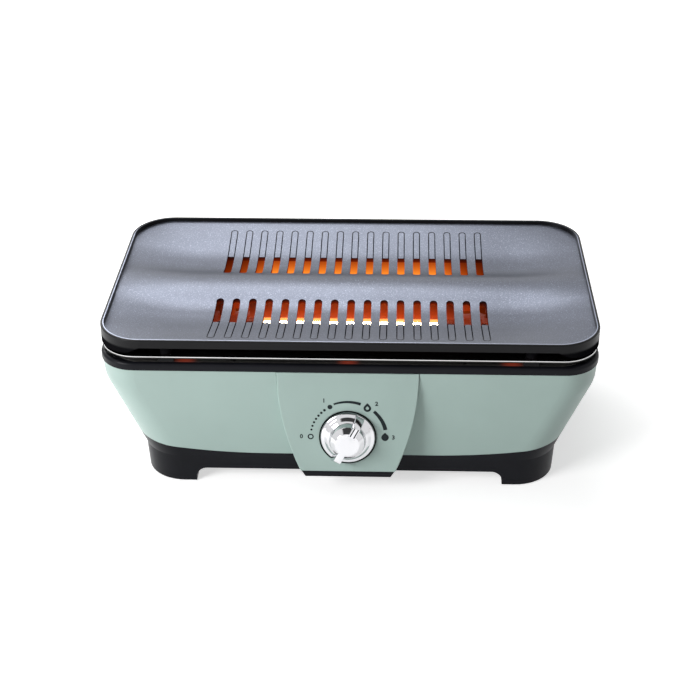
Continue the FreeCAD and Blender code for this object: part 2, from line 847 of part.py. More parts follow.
def screw(radius, height, shank_radius, shank_length):
    """A pan-head screw, head at the origin, shank along +Z."""
    head = cylinder(radius, Vector(0, 0, -height), Vector(0, 0, 1), height)
    head = head.makeChamfer(height * 0.35, [e for e in head.Edges if e.BoundBox.ZMax < -height / 2
                                            and e.Closed and e.Length < 7 * radius])
    cross = box(-radius * 0.6, radius * 0.6, -screw_recess / 2, screw_recess / 2,
                -height - 1, -height * 0.55)
    turned = cross.copy()
    turned.rotate(Vector(0, 0, 0), Vector(0, 0, 1), 90)
    shank = cylinder(shank_radius, Vector(0, 0, 0), Vector(0, 0, 1), shank_length)
    return head.cut(cross).cut(turned).fuse(shank)


def placed(shape, point, direction):
    """A copy of the shape with its +Z turned to a direction and its origin at a point."""
    copy = shape.copy()
    copy.Placement = FreeCAD.Placement(point, FreeCAD.Rotation(Vector(0, 0, 1), direction))
    return copy


def floor_screws():
    """Screws that hold the floor plate."""
    one = screw(floor_head_radius, floor_head_height, screw_radius, floor_screw_length)
    return Part.makeCompound([placed(one, Vector(x, y, floor_plate_bottom), Vector(0, 0, 1))
                              for x, y in base_screw_places()])


def frame_screw_places():
    """Where the liner's flange is screwed down to the top frame's ledge."""
    y = liner_mouth_depth + liner_flange / 2
    x = liner_mouth_length + liner_flange / 2
    return [(sx * frame_screw_x, sy * y) for sx in (-1, 1) for sy in (-1, 1)] + [(-x, 0.0), (x, 0.0)]


def top_frame():
    """Black frame on the shell: rounded lip, inner ledge and a tongue inside the shell."""
    frame = rounded_block(frame_half_length, frame_half_depth, frame_corner, frame_bottom, frame_top)
    outer_edges = [e for e in frame.Edges if e.BoundBox.ZMin > frame_top - 0.01]
    frame = frame.makeFillet(frame_rounding, outer_edges)
    frame = frame.cut(rounded_block(frame_half_length - frame_lip, frame_half_depth - frame_lip,
                                    frame_corner - frame_lip, ledge_top, frame_top + 1))
    frame = frame.cut(rounded_block(frame_half_length - frame_lip, frame_half_depth - frame_lip,
                                    frame_corner - frame_lip, frame_bottom - 1,
                                    ledge_top - ledge_thickness))
    tongue_outer = shell_wall + running_gap
    tongue = body_form(tongue_outer, frame_bottom - tongue_height, frame_bottom)
    tongue = tongue.fuse(rounded_block(body_top_length - tongue_outer, body_top_depth - tongue_outer,
                                       body_top_corner - tongue_outer, frame_bottom,
                                       ledge_top - ledge_thickness))
    hollow = tongue_outer + tongue_thickness
    tongue = tongue.cut(rounded_block(body_top_length - hollow, body_top_depth - hollow,
                                      body_top_corner - hollow, frame_bottom - 20, ledge_top))
    tongue = tongue.cut(panel_prism(panel_flange + 1, frame_bottom, -half_depth - 60, -foot_depth + 14))
    frame = frame.fuse(tongue)
    frame = frame.cut(rounded_block(frame_half_length - ledge_inset, frame_half_depth - ledge_inset,
                                    frame_corner - ledge_inset + ledge_softness,
                                    frame_bottom - 20, frame_top + 1))
    for x, y in frame_screw_places():
        frame = frame.cut(cylinder(screw_pilot, Vector(x, y, ledge_top - 10), Vector(0, 0, 1), 11))
    return frame


# Liner and heater unit

def liner_form(inset, z0, z1):
    """The liner's tapered outer form, drawn in by an inset."""
    rows = []
    for z in (z0, z1):
        share = (z - liner_floor) / (ledge_top - liner_floor)
        rows.append((liner_floor_length + share * (liner_mouth_length - liner_floor_length) - inset,
                     liner_floor_depth + share * (liner_mouth_depth - liner_floor_depth) - inset,
                     liner_floor_corner + share * (liner_mouth_corner - liner_floor_corner) - inset, z))
    return tapered_block(rows)


def stand_screw_places():
    """Where the heater stand is screwed to the liner's floor."""
    y = stand_half_width + stand_foot / 2
    return [(sx * stand_screw_x, sy * y) for sx in (-1, 1) for sy in (-1, 1)]


def inner_liner():
    """Steel heat box that hangs from the top frame by its flange."""
    liner = liner_form(0, liner_floor, ledge_top + liner_sheet)
    flange = rounded_block(liner_mouth_length + liner_flange, liner_mouth_depth + liner_flange,
                           liner_mouth_corner + liner_flange, ledge_top, ledge_top + liner_sheet)
    liner = liner.fuse(flange)
    liner = liner.cut(liner_form(liner_sheet, liner_floor + liner_sheet, ledge_top + 2))
    holes = [cylinder(wide_screw_hole, Vector(x, y, ledge_top - 1), Vector(0, 0, 1), 4)
             for x, y in frame_screw_places()]
    holes += [cylinder(screw_hole, Vector(x, y, liner_floor - 1), Vector(0, 0, 1), 4)
              for x, y in stand_screw_places()]
    holes += [cylinder(bush_hole, Vector(x, y, liner_floor - 1), Vector(0, 0, 1), 4)
              for x, y in terminal_wire_places()]
    return liner.cut(Part.makeCompound(holes))


def liner_screws():
    """Screws through the liner's flange into the top frame."""
    one = screw(head_radius, head_height, screw_radius, sheet_screw_length)
    return Part.makeCompound([placed(one, Vector(x, y, ledge_top + liner_sheet), Vector(0, 0, -1))
                              for x, y in frame_screw_places()])


def heater_stand():
    """Folded steel channel on the liner's floor that carries reflectors and tube brackets."""
    floor = liner_floor + liner_sheet
    half = stand_half_width
    length = stand_half_length
    stand = box(-length, length, -half, half, floor, stand_top)
    stand = stand.cut(box(-length - 1, length + 1, -half + stand_sheet, half - stand_sheet,
                          floor - 1, stand_top - stand_sheet))
    feet = [box(-length, length, side * (half + stand_foot / 2) - stand_foot / 2,
                side * (half + stand_foot / 2) + stand_foot / 2, floor, floor + stand_sheet)
            for side in (-1, 1)]
    stand = stand.fuse(feet)
    windows = []
    for index in range(stand_window_count):
        x = (index - (stand_window_count - 1) / 2) * stand_window_pitch
        windows.append(box(x - stand_window_length / 2, x + stand_window_length / 2, -half - 1, half + 1,
                           floor + stand_window_inset, stand_top - stand_window_inset))
    for x, y in stand_screw_places():
        windows.append(cylinder(screw_hole, Vector(x, y, floor - 1), Vector(0, 0, 1), 4))
    for side_x in (-1, 1):
        for side_y in (-1, 1):
            windows.append(cylinder(lead_radius + lead_hole_play,
                                    Vector(side_x * lead_x, side_y * tube_y, stand_top - 4),
                                    Vector(0, 0, 1), 6))
        windows.append(cylinder(screw_hole, Vector(side_x * bracket_screw_x, 0, stand_top - 4),
                                Vector(0, 0, 1), 6))
    return stand.cut(Part.makeCompound(windows))


def stand_screws():
    """Screws that hold the stand down to the liner's floor."""
    one = screw(head_radius, head_height, screw_radius, sheet_screw_length)
    top = liner_floor + liner_sheet + stand_sheet
    return Part.makeCompound([placed(one, Vector(x, y, top), Vector(0, 0, -1))
                              for x, y in stand_screw_places()])


def front_reflector():
    """Polished trough under the front tube: upright back, round bed and a lip that sheds fat."""
    outer = reflector_radius + reflector_sheet
    centre = Vector(-reflector_half_length, -outer, stand_top + outer)
    fall = math.radians(reflector_lip_fall)
    onward = Vector(0, -math.cos(fall), -math.sin(fall))
    down = Vector(0, math.sin(fall), -math.cos(fall))

    def at(radius, turn):
        return centre + Vector(0, radius * math.cos(turn), radius * math.sin(turn))

    def up(radius):
        return Vector(centre.x, centre.y + radius, reflector_crest)

    inner_angle = math.radians(180 + reflector_lip_angle)
    inner_end = at(reflector_radius, inner_angle)
    under = inner_end - centre + down * reflector_sheet
    along = under.dot(onward)
    step = math.sqrt(along ** 2 - under.Length ** 2 + outer ** 2) - along
    outer_end = centre + under + onward * step
    outer_angle = 2 * math.pi + math.atan2(outer_end.z - centre.z, outer_end.y - centre.y)
    lip_upper = inner_end + onward * reflector_lip
    lip_lower = lip_upper + down * reflector_sheet
    edges = [Part.LineSegment(up(reflector_radius), at(reflector_radius, 0)).toShape(),
             Part.Arc(at(reflector_radius, 0), at(reflector_radius, math.pi + inner_angle / 2),
                      inner_end).toShape(),
             Part.LineSegment(inner_end, lip_upper).toShape(),
             Part.LineSegment(lip_upper, lip_lower).toShape(),
             Part.LineSegment(lip_lower, outer_end).toShape(),
             Part.Arc(outer_end, at(outer, math.pi + outer_angle / 2), at(outer, 0)).toShape(),
             Part.LineSegment(at(outer, 0), up(outer)).toShape(),
             Part.LineSegment(up(outer), up(reflector_radius)).toShape()]
    return Part.Face(Part.Wire(edges)).extrude(Vector(2 * reflector_half_length, 0, 0))


def along_x(radius, x0, x1, y, z):
    """A round bar along X."""
    return cylinder(radius, Vector(x0, y, z), Vector(1, 0, 0), x1 - x0)


def quartz_tube(side):
    """Clear quartz tube, open at its ends."""
    tube = along_x(tube_radius, -tube_half_length, tube_half_length, side * tube_y, tube_z)
    bore = along_x(tube_radius - tube_glass, -tube_half_length - 1, tube_half_length + 1,
                   side * tube_y, tube_z)
    return tube.cut(bore)


def filament(side):
    """Flat graphite strip on two lead pins that reach the end caps."""
    y = side * tube_y
    strip = box(-filament_half_length, filament_half_length, y - filament_width / 2,
                y + filament_width / 2, tube_z - filament_thickness / 2, tube_z + filament_thickness / 2)
    pins = [along_x(lead_pin_radius, filament_half_length - lead_pin_hold, tube_half_length, y, tube_z),
            along_x(lead_pin_radius, -tube_half_length, lead_pin_hold - filament_half_length, y, tube_z)]
    return strip.fuse(pins)


def tube_end_caps():
    """Ceramic caps over the tubes' ends."""
    start = tube_half_length - cap_overlap
    cap = along_x(cap_radius, start, start + cap_length, tube_y, tube_z)
    cap = cap.cut(along_x(tube_radius, start - 1, tube_half_length, tube_y, tube_z))
    return Part.makeCompound(four_corners(cap))


def right_tube_bracket():
    """Upright steel plate with a foot, holding the right ends of both tubes."""
    x = bracket_x
    plate = box(x, x + bracket_sheet, -bracket_half_width, bracket_half_width, stand_top, bracket_top)
    foot = box(x, x + bracket_foot, -stand_half_width, stand_half_width, stand_top,
               stand_top + bracket_sheet)
    bracket = plate.fuse(foot)
    for side in (-1, 1):
        bracket = bracket.cut(along_x(cap_radius + bracket_play, x - 1, x + bracket_foot + 1,
                                      side * tube_y, tube_z))
    dip = cylinder(bracket_dip, Vector(x - 1, 0, bracket_top + 2), Vector(1, 0, 0), bracket_sheet + 2)
    bracket = bracket.cut(dip)
    return bracket.cut(cylinder(screw_hole, Vector(bracket_screw_x, 0, stand_top - 1), Vector(0, 0, 1), 4))


def bracket_screws():
    """Screws that hold the tube brackets to the stand."""
    one = screw(head_radius, head_height, screw_radius, bracket_screw_length)
    top = stand_top + bracket_sheet
    return Part.makeCompound([placed(one, Vector(side * bracket_screw_x, 0, top), Vector(0, 0, -1))
                              for side in (-1, 1)])


def heater_terminals():
    """Ceramic terminal blocks in the stand, under the tubes' ends."""
    floor = liner_floor + liner_sheet
    start = lead_x - terminal_half_length
    half = terminal_groove / 2
    block = box(start, stand_half_length - 1, -terminal_half_width, terminal_half_width, floor,
                terminal_top)
    grooves = [box(start - 1, stand_half_length, side * terminal_groove_y - half,
                   side * terminal_groove_y + half, terminal_top - terminal_groove_depth,
                   terminal_top + 1) for side in (-1, 1)]
    block = block.cut(Part.makeCompound(grooves))
    return Part.makeCompound([block, mirrored_x(block)])


def bent_bar(points, radius, bend):
    """A round bar along straight runs joined by arcs of one radius."""
    edges = []
    start = points[0]
    for before, corner, after in zip(points, points[1:], points[2:]):
        inward = (before - corner).normalize()
        onward = (after - corner).normalize()
        half_turn = inward.getAngle(onward) / 2
        setback = bend / math.tan(half_turn)
        entry = corner + inward * setback
        leave = corner + onward * setback
        bisector = (inward + onward).normalize()
        middle = corner + bisector * (bend / math.sin(half_turn) - bend)
        edges.append(Part.LineSegment(start, entry).toShape())
        edges.append(Part.Arc(entry, middle, leave).toShape())
        start = leave
    edges.append(Part.LineSegment(start, points[-1]).toShape())
    path = Part.Wire(edges)
    direction = (points[1] - points[0]).normalize()
    ring = Part.Wire([Part.Circle(points[0], direction, radius).toShape()])
    return path.makePipeShell([ring], True, False)


def heater_leads():
    """Leads from the end caps down through the stand to the terminals."""
    cap_end = tube_half_length - cap_overlap + cap_length
    route = [Vector(cap_end, tube_y, tube_z), Vector(lead_x, tube_y, tube_z),
             Vector(lead_x, tube_y, terminal_top)]
    return Part.makeCompound(four_corners(bent_bar(route, lead_radius, lead_bend)))


def thermal_cutout():
    """Disc thermostat with its flange and tabs, under the liner's floor."""
    top = liner_floor
    low = top - cutout_height
    flange = box(cutout_x - cutout_flange_length / 2, cutout_x + cutout_flange_length / 2,
                 -cutout_flange_width / 2, cutout_flange_width / 2, top - cutout_flange_sheet, top)
    disc = cylinder(cutout_radius, Vector(cutout_x, 0, low), Vector(0, 0, 1), cutout_height)
    tabs = [box(x - tab_sheet / 2, x + tab_sheet / 2, -cutout_tab_width / 2, cutout_tab_width / 2,
                low - cutout_tab_length, low) for x in (cutout_x - cutout_tab_x, cutout_x + cutout_tab_x)]
    return flange.fuse([disc] + tabs)


def thermal_fuse():
    """Thermal fuse in its strap, against the liner's floor."""
    z = liner_floor - fuse_radius
    reach = fuse_half_length + fuse_pin_length
    fuse = along_x(fuse_radius, -fuse_x - fuse_half_length, -fuse_x + fuse_half_length, 0, z)
    pins = along_x(fuse_pin_radius, -fuse_x - reach, -fuse_x + reach, 0, z)
    return fuse.fuse(pins)


def fuse_strap():
    """Strap that holds the thermal fuse up to the liner's floor."""
    z = liner_floor - fuse_radius
    x0 = -fuse_x - strap_width / 2
    x1 = -fuse_x + strap_width / 2
    outer = fuse_radius + strap_sheet
    strap = box(x0, x1, -outer, outer, z - outer, liner_floor).fuse(
        box(x0, x1, -strap_half_length, strap_half_length, liner_floor - strap_sheet, liner_floor))
    strap = strap.cut(box(x0 - 1, x1 + 1, -fuse_radius, fuse_radius, z, liner_floor + 1))
    return strap.cut(along_x(fuse_radius, x0 - 1, x1 + 1, 0, z))


# Control panel, switch and knob

def control_panel():
    """Green panel, tilted outwards at its foot, with a flange inside the shell."""
    y0 = -frame_half_depth - 60
    y1 = -foot_depth + 14
    panel = panel_prism(0, panel_top, y0, y1).cut(before_panel(0))
    front_edges = [e for e in panel.Edges if all(abs(v.Point.y - panel_face_y(v.Point.z)) < 0.01
                                                 for v in e.Vertexes)]
    panel = panel.makeFillet(panel_rounding, front_edges)
    hollow = panel_prism(-panel_wall, panel_top - panel_wall, y0, y1).cut(before_panel(panel_wall))
    behind = shell_wall + panel_flange_sheet
    back = body_form(behind, 5, frame_bottom)
    panel = panel.cut(hollow).cut(back)
    flange_top = panel_top - panel_flange_top_gap
    flange = body_form(shell_wall, panel_flange_foot, flange_top)
    flange = flange.cut(body_form(behind, panel_flange_foot - 1, flange_top + 1))
    flange = flange.common(panel_prism(panel_flange, panel_top, y0, y1))
    flange = flange.cut(panel_prism(-panel_wall, panel_top, y0, y1))
    panel = panel.fuse(flange)
    return panel.cut(panel_bore(bush_radius + 0.1, -panel_wall - 3, 3))


def panel_placement():
    """Placement of the knob's own frame: x right, y up the panel, z out of it."""
    point = Vector(0, panel_face_y(knob_height), knob_height)
    return FreeCAD.Placement(point, FreeCAD.Rotation(Vector(1, 0, 0), 90 - panel_tilt))


def on_panel(shape, turn=0.0):
    """The shape moved from the knob's own frame to the panel, turned about the knob's axis first."""
    copy = shape.copy()
    copy.rotate(Vector(0, 0, 0), Vector(0, 0, 1), turn)
    copy.Placement = panel_placement().multiply(copy.Placement)
    return copy


def panel_bore(radius, z0, z1):
    """A bore on the knob's axis."""
    return on_panel(cylinder(radius, Vector(0, 0, z0), Vector(0, 0, 1), z1 - z0))


def panel_foot_strip():
    """Black cap that closes the panel's foot."""
    y0 = -frame_half_depth - 60
    back = body_form(base_wall - 1.5, 10, 60)
    strip = strip_prism(0, y0, -foot_depth + 14).cut(before_panel(strip_inset)).cut(back)
    hollow = strip_prism(-strip_wall, y0, -foot_depth + 14).cut(before_panel(strip_inset + strip_wall))
    return strip.cut(hollow)


def panel_screw_places():
    """Where the panel's flange is fixed to the shell from inside."""
    places = []
    for z in (panel_screw_low, panel_screw_high):
        outline = panel_outline(panel_flange / 2 + panel_gap / 2, panel_top, 0)
        reach = max(p.x for p in outline.Edges[0].discretize(60) if abs(p.z - z) < 2.0)
        places += [(-reach, z), (reach, z)]
    return places


def dial_ring():
    """Thin black ring round the knob."""
    ring = cylinder(ring_outer, Vector(0, 0, 0), Vector(0, 0, 1), ring_thickness)
    return on_panel(ring.cut(cylinder(ring_inner, Vector(0, 0, -1), Vector(0, 0, 1), ring_thickness + 2)))


def knob_section():
    """Half section of the knob's cap, as (radius, height) pairs round its outside."""
    return [(0, knob_lift), (knob_radius, knob_lift), (knob_radius, knob_lift + 1.6),
            (knob_radius - 1.2, knob_lift + 2.6), (knob_radius - 5.2, knob_lift + 4.4),
            (knob_radius - 6.4, knob_lift + 8.0), (knob_radius - 8.2, knob_lift + 9.4),
            (knob_radius - 10.8, knob_reach - 1.4), (knob_radius - 12.4, knob_reach), (0, knob_reach)]


def revolved(pairs):
    """A solid of revolution about Z through (radius, height) pairs."""
    points = [Vector(r, 0, z) for r, z in pairs]
    return Part.Face(Part.makePolygon(points + [points[0]])).revolve(Vector(0, 0, 0), Vector(0, 0, 1), 360)


def knob():
    """Chromed knob: stepped round cap with a grip bar and two lines that mark the pointer."""
    cap = revolved(knob_section())
    half = bar_half_length
    bar_side = [(-half + 1.5, knob_lift + 1.5), (-half, 9.0), (-half + 1.0, 14.5), (-half + 6.5, bar_reach),
                (half - 6.5, bar_reach), (half - 1.0, 14.5), (half, 9.0), (half - 1.5, knob_lift + 1.5)]
    bar = prism_along_y(bar_side, -bar_width / 2, bar_width / 2)
    long_edges = [e for e in bar.Edges if e.BoundBox.YLength < 0.01 and e.BoundBox.ZMax > 10]
    bar = bar.makeFillet(bar_rounding, long_edges)
    cavity = revolved([(0, knob_lift - 1), (knob_radius - knob_wall - 2.5, knob_lift - 1),
                       (knob_radius - knob_wall - 6.2, knob_lift + 3.0),
                       (knob_radius - knob_wall - 11.5, knob_reach - knob_roof),
                       (0, knob_reach - knob_roof)])
    cap = cap.fuse(bar).cut(cavity)
    for side in (-1, 1):
        middle = side * pointer_line_y
        cap = cap.cut(box(pointer_line_start, half - 2.5, middle - pointer_line_width / 2,
                          middle + pointer_line_width / 2, bar_reach - pointer_line_depth, bar_reach + 1))
    return on_panel(cap, pointer_angle)


def knob_core():
    """Plastic core inside the knob that grips the shaft."""
    top = knob_reach - knob_roof
    disc = cylinder(core_radius, Vector(0, 0, top - core_thickness), Vector(0, 0, 1), core_thickness)
    hub = cylinder(hub_radius, Vector(0, 0, bush_reach + 1), Vector(0, 0, 1), top - bush_reach - 1)
    core = disc.fuse(hub)
    return on_panel(core.cut(knob_shaft_bar(0)), pointer_angle)


def knob_shaft_bar(start):
    """The shaft with its flat, in the knob's own frame, from a height up."""
    top = knob_reach - knob_roof - 1
    shaft = cylinder(shaft_radius, Vector(0, 0, start), Vector(0, 0, 1), top - start)
    flat = box(-shaft_radius, shaft_radius, shaft_radius - shaft_flat, shaft_radius + 1,
               bush_reach + 0.8, top + 1)
    return shaft.cut(flat)


def knob_shaft():
    """Switch shaft, turned by the knob."""
    return on_panel(knob_shaft_bar(-panel_wall - switch_depth + shaft_foot), pointer_angle)


def rotary_switch():
    """Stepped heat switch behind the panel, with its threaded bush and tabs."""
    half = switch_size / 2
    body = Part.makeBox(switch_size, switch_size, switch_depth,
                        Vector(-half, -half, -panel_wall - switch_depth))
    body = body.makeFillet(switch_corner, [e for e in body.Edges if e.BoundBox.ZLength > switch_depth - 1])
    bush = cylinder(bush_radius, Vector(0, 0, -panel_wall), Vector(0, 0, 1), panel_wall + bush_reach)
    back = -panel_wall - switch_depth
    tabs = [box(x - tab_width / 2, x + tab_width / 2, y - tab_sheet / 2, y + tab_sheet / 2,
                back - tab_length, back) for x in (-tab_x, tab_x) for y in (-tab_y, tab_y)]
    switch = body.fuse([bush] + tabs)
    bore = cylinder(shaft_radius + shaft_play, Vector(0, 0, back + shaft_foot - 0.5), Vector(0, 0, 1), 60)
    return on_panel(switch.cut(bore))


def switch_nut():
    """Nut on the bush, under the knob."""
    points = []
    for i in range(7):
        angle = math.radians(60 * i)
        points.append(Vector(nut_radius * math.cos(angle), nut_radius * math.sin(angle), 0))
    nut = Part.Face(Part.makePolygon(points)).extrude(Vector(0, 0, nut_height))
    return on_panel(nut.cut(cylinder(bush_radius, Vector(0, 0, -1), Vector(0, 0, 1), nut_height + 2)))


def panel_screws():
    """Short screws through the panel's flange into the shell's wall."""
    one = screw(panel_head_radius, panel_head_height, panel_screw_radius, panel_screw_length)
    screws = []
    for x, z in panel_screw_places():
        y = -body_size(z)[1] + shell_wall + panel_flange_sheet
        screws.append(placed(one, Vector(x, y, z), Vector(0, -1, 0)))
    return screws


# Power inlet and wiring

def power_inlet():
    """Socket for the lead, set into the back of the shell."""
    face = inlet_face
    flange = box(inlet_x - inlet_width / 2, inlet_x + inlet_width / 2, foot_depth, face,
                 inlet_z - inlet_height / 2, inlet_z + inlet_height / 2)
    upright = [e for e in flange.Edges if e.BoundBox.YLength > face - foot_depth - 0.1]
    flange = flange.makeFillet(inlet_corner, upright).cut(body_form(0, 40, 120))
    body = box(inlet_x - inlet_body_width / 2, inlet_x + inlet_body_width / 2, face - inlet_depth,
               face - 0.5, inlet_z - inlet_body_height / 2, inlet_z + inlet_body_height / 2)
    inlet = flange.fuse(body)
    socket = box(inlet_x - socket_width / 2, inlet_x + socket_width / 2, face - socket_depth, face + 1,
                 inlet_z - socket_height / 2, inlet_z + socket_height / 2)
    inlet = inlet.cut(socket)
    for x in inlet_pin_places():
        inlet = inlet.cut(cylinder(inlet_pin_radius, Vector(x, face - inlet_depth - 1, inlet_z),
                                   Vector(0, 1, 0), inlet_depth))
    for x in inlet_screw_places():
        inlet = inlet.cut(cylinder(screw_pilot, Vector(x, foot_depth - 5, inlet_z), Vector(0, 1, 0), 20))
    return inlet


def inlet_pin_places():
    """The inlet's two contact pins."""
    return [inlet_x - inlet_pin_spacing / 2, inlet_x + inlet_pin_spacing / 2]


def inlet_pins():
    """Round contact pins of the inlet."""
    start = inlet_face - inlet_depth - inlet_pin_tail
    return Part.makeCompound([cylinder(inlet_pin_radius, Vector(x, start, inlet_z), Vector(0, 1, 0),
                                       inlet_face - inlet_pin_recess - start)
                              for x in inlet_pin_places()])


def inlet_screws():
    """Screws that hold the inlet's flange to the shell."""
    one = screw(head_radius, head_height, screw_radius, inlet_screw_length)
    return Part.makeCompound([placed(one, Vector(x, inlet_face, inlet_z), Vector(0, -1, 0))
                              for x in inlet_screw_places()])


def terminal_wire_places():
    """Where wires come up through the liner's floor into the terminals."""
    return [(wire_rise_x, 0.0), (wire_rise_x, wire_rise_y),
            (-wire_rise_x, 0.0), (-wire_rise_x, -wire_rise_y)]


def wire_bushes():
    """Ceramic bushes round the wires in the liner's floor."""
    low = liner_floor - bush_collar_height
    top = liner_floor + liner_sheet
    bushes = []
    for x, y in terminal_wire_places():
        bush = cylinder(bush_hole, Vector(x, y, low), Vector(0, 0, 1), top - low)
        collar = cylinder(bush_hole + bush_collar, Vector(x, y, low), Vector(0, 0, 1), bush_collar_height)
        bore = cylinder(wire_radius + wire_play, Vector(x, y, low - 1), Vector(0, 0, 1), top - low + 2)
        bushes.append(bush.fuse(collar).cut(bore))
    return Part.makeCompound(bushes)


def switch_tab_end(x, y):
    """The end of one of the switch's tabs."""
    return panel_placement().multVec(Vector(x, y, -panel_wall - switch_depth - tab_length))


def wiring():
    """Insulated wires between inlet, switch, thermal cut-out, fuse and terminals."""
    block = liner_floor + liner_sheet
    pin_y = inlet_face - inlet_depth - inlet_pin_tail / 2
    pin_z = inlet_z - inlet_pin_radius
    live_x, neutral_x = inlet_pin_places()
    low_right = switch_tab_end(tab_x, -tab_y)
    low_left = switch_tab_end(-tab_x, -tab_y)
    high_right = switch_tab_end(tab_x, tab_y)
    high_left = switch_tab_end(-tab_x, tab_y)
    front = -wire_front_y
    cutout_z = liner_floor - cutout_height - cutout_tab_length
    cutout_left = cutout_x - cutout_tab_x
    cutout_right = cutout_x + cutout_tab_x
    fuse_z = liner_floor - fuse_radius
    fuse_right = -fuse_x + fuse_half_length + fuse_pin_length
    fuse_left = -fuse_x - fuse_half_length - fuse_pin_length
    turn_right = fuse_right + 10
    turn_left = fuse_left - 11
    routes = [
        [Vector(live_x, pin_y, pin_z), Vector(live_x, pin_y, wire_mid_z), Vector(live_x, front, wire_mid_z),
         Vector(tab_x, front, wire_mid_z), Vector(tab_x, front, low_right.z), low_right],
        [low_left, Vector(-tab_x, front, low_left.z), Vector(-tab_x, front, wire_low_z),
         Vector(-tab_x, 0, wire_low_z), Vector(cutout_left, 0, wire_low_z),
         Vector(cutout_left, 0, cutout_z)],
        [Vector(cutout_right, 0, cutout_z), Vector(cutout_right, 0, wire_low_z),
         Vector(wire_rise_x, 0, wire_low_z), Vector(wire_rise_x, 0, block)],
        [Vector(neutral_x, pin_y, pin_z), Vector(neutral_x, pin_y, wire_high_z),
         Vector(neutral_x, wire_back_y, wire_high_z), Vector(turn_right, wire_back_y, wire_high_z),
         Vector(turn_right, 0, wire_high_z), Vector(turn_right, 0, fuse_z), Vector(fuse_right, 0, fuse_z)],
        [Vector(fuse_left, 0, fuse_z), Vector(turn_left, 0, fuse_z), Vector(turn_left, 0, wire_high_z),
         Vector(-wire_rise_x, 0, wire_high_z), Vector(-wire_rise_x, 0, block)],
        [high_right, Vector(tab_x, front, high_right.z), Vector(wire_side_x, front, high_right.z),
         Vector(wire_side_x, front, wire_high_z), Vector(wire_side_x, wire_rise_y, wire_high_z),
         Vector(wire_rise_x, wire_rise_y, wire_high_z), Vector(wire_rise_x, wire_rise_y, block)],
        [high_left, Vector(-tab_x, front, high_left.z), Vector(-wire_side_x, front, high_left.z),
         Vector(-wire_side_x, front, wire_high_z), Vector(-wire_side_x, -wire_rise_y, wire_high_z),
         Vector(-wire_rise_x, -wire_rise_y, wire_high_z), Vector(-wire_rise_x, -wire_rise_y, block)],
    ]
    return Part.makeCompound([bent_bar(route, wire_radius, wire_bend) for route in routes])


panel_top = frame_bottom - 0.4
lead_x = tube_half_length - cap_overlap + cap_length + lead_bend + 2
bracket_screw_x = bracket_x + bracket_foot / 2 + 0.8
terminal_top = liner_floor + liner_sheet + terminal_height


def build():
    """Every piece by name, drawn about the middle of the body."""
    reflector = front_reflector()
    bracket = right_tube_bracket()
    shell = body_shell()
    panel = control_panel()
    screws = panel_screws()
    for one in screws:
        shell = shell.cut(one)
        panel = panel.cut(one)
    return {
        "cooking_plate": cooking_plate(),
        "drip_tray": drip_tray(),
        "tray_pads": tray_pads(),
        "top_frame": top_frame(),
        "body_shell": shell,
        "base_frame": base_frame(),
        "rubber_feet": rubber_feet(),
        "floor_plate": floor_plate(),
        "floor_screws": floor_screws(),
        "inner_liner": inner_liner(),
        "liner_screws": liner_screws(),
        "heater_stand": heater_stand(),
        "stand_screws": stand_screws(),
        "front_reflector": reflector,
        "rear_reflector": mirrored_y(reflector),
        "front_quartz_tube": quartz_tube(-1),
        "rear_quartz_tube": quartz_tube(1),
        "front_filament": filament(-1),
        "rear_filament": filament(1),
        "tube_end_caps": tube_end_caps(),
        "right_tube_bracket": bracket,
        "left_tube_bracket": mirrored_x(bracket),
        "bracket_screws": bracket_screws(),
        "heater_terminals": heater_terminals(),
        "heater_leads": heater_leads(),
        "thermal_cutout": thermal_cutout(),
        "thermal_fuse": thermal_fuse(),
        "fuse_strap": fuse_strap(),
        "control_panel": panel,
        "panel_foot_strip": panel_foot_strip(),
        "panel_screws": Part.makeCompound(screws),
        "dial_ring": dial_ring(),
        "rotary_switch": rotary_switch(),
        "switch_nut": switch_nut(),
        "knob": knob(),
        "knob_core": knob_core(),
        "knob_shaft": knob_shaft(),
        "power_inlet": power_inlet(),
        "inlet_pins": inlet_pins(),
        "inlet_screws": inlet_screws(),
        "wire_bushes": wire_bushes(),
        "wiring": wiring(),
    }


pieces = build()
setback = -(pieces["knob"].BoundBox.YMin + half_depth) / 2
print("body set back by", round(setback, 3))
for name, shape in pieces.items():
    shape.translate(Vector(0, setback, 0))
    shape.exportStep("parts/" + name + ".step")
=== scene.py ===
"""Looks of an electric table grill with a wave-shaped cast plate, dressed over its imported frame.

Metres, +Z up, -Y towards the person who turns the knob, as in the frame.
"""
import json
import math

import bmesh
import bpy
from mathutils import Euler, Matrix, Vector


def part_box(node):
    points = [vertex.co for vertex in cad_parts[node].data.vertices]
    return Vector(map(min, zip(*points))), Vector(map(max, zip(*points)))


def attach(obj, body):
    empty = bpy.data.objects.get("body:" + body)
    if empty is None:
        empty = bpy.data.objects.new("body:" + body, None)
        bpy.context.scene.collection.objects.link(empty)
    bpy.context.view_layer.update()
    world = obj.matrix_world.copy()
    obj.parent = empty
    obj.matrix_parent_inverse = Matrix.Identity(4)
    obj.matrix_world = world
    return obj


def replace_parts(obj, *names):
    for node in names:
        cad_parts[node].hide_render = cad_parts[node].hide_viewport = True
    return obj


bl_info = {
    "name": "Table Grill Looks",
    "version": (1, 0, 0),
    "blender": (4, 5, 0),
    "location": "3D View > Sidebar > Grill",
    "description": "Finishes, dial, knob, screws and studio of an electric table grill",
    "category": "Object",
}

MM = 0.001
BODY = "body"
KNOB_BODY = "dial_knob"
PLATE_MIDDLE = 0.01706
POINTER_ANGLE = 62.0

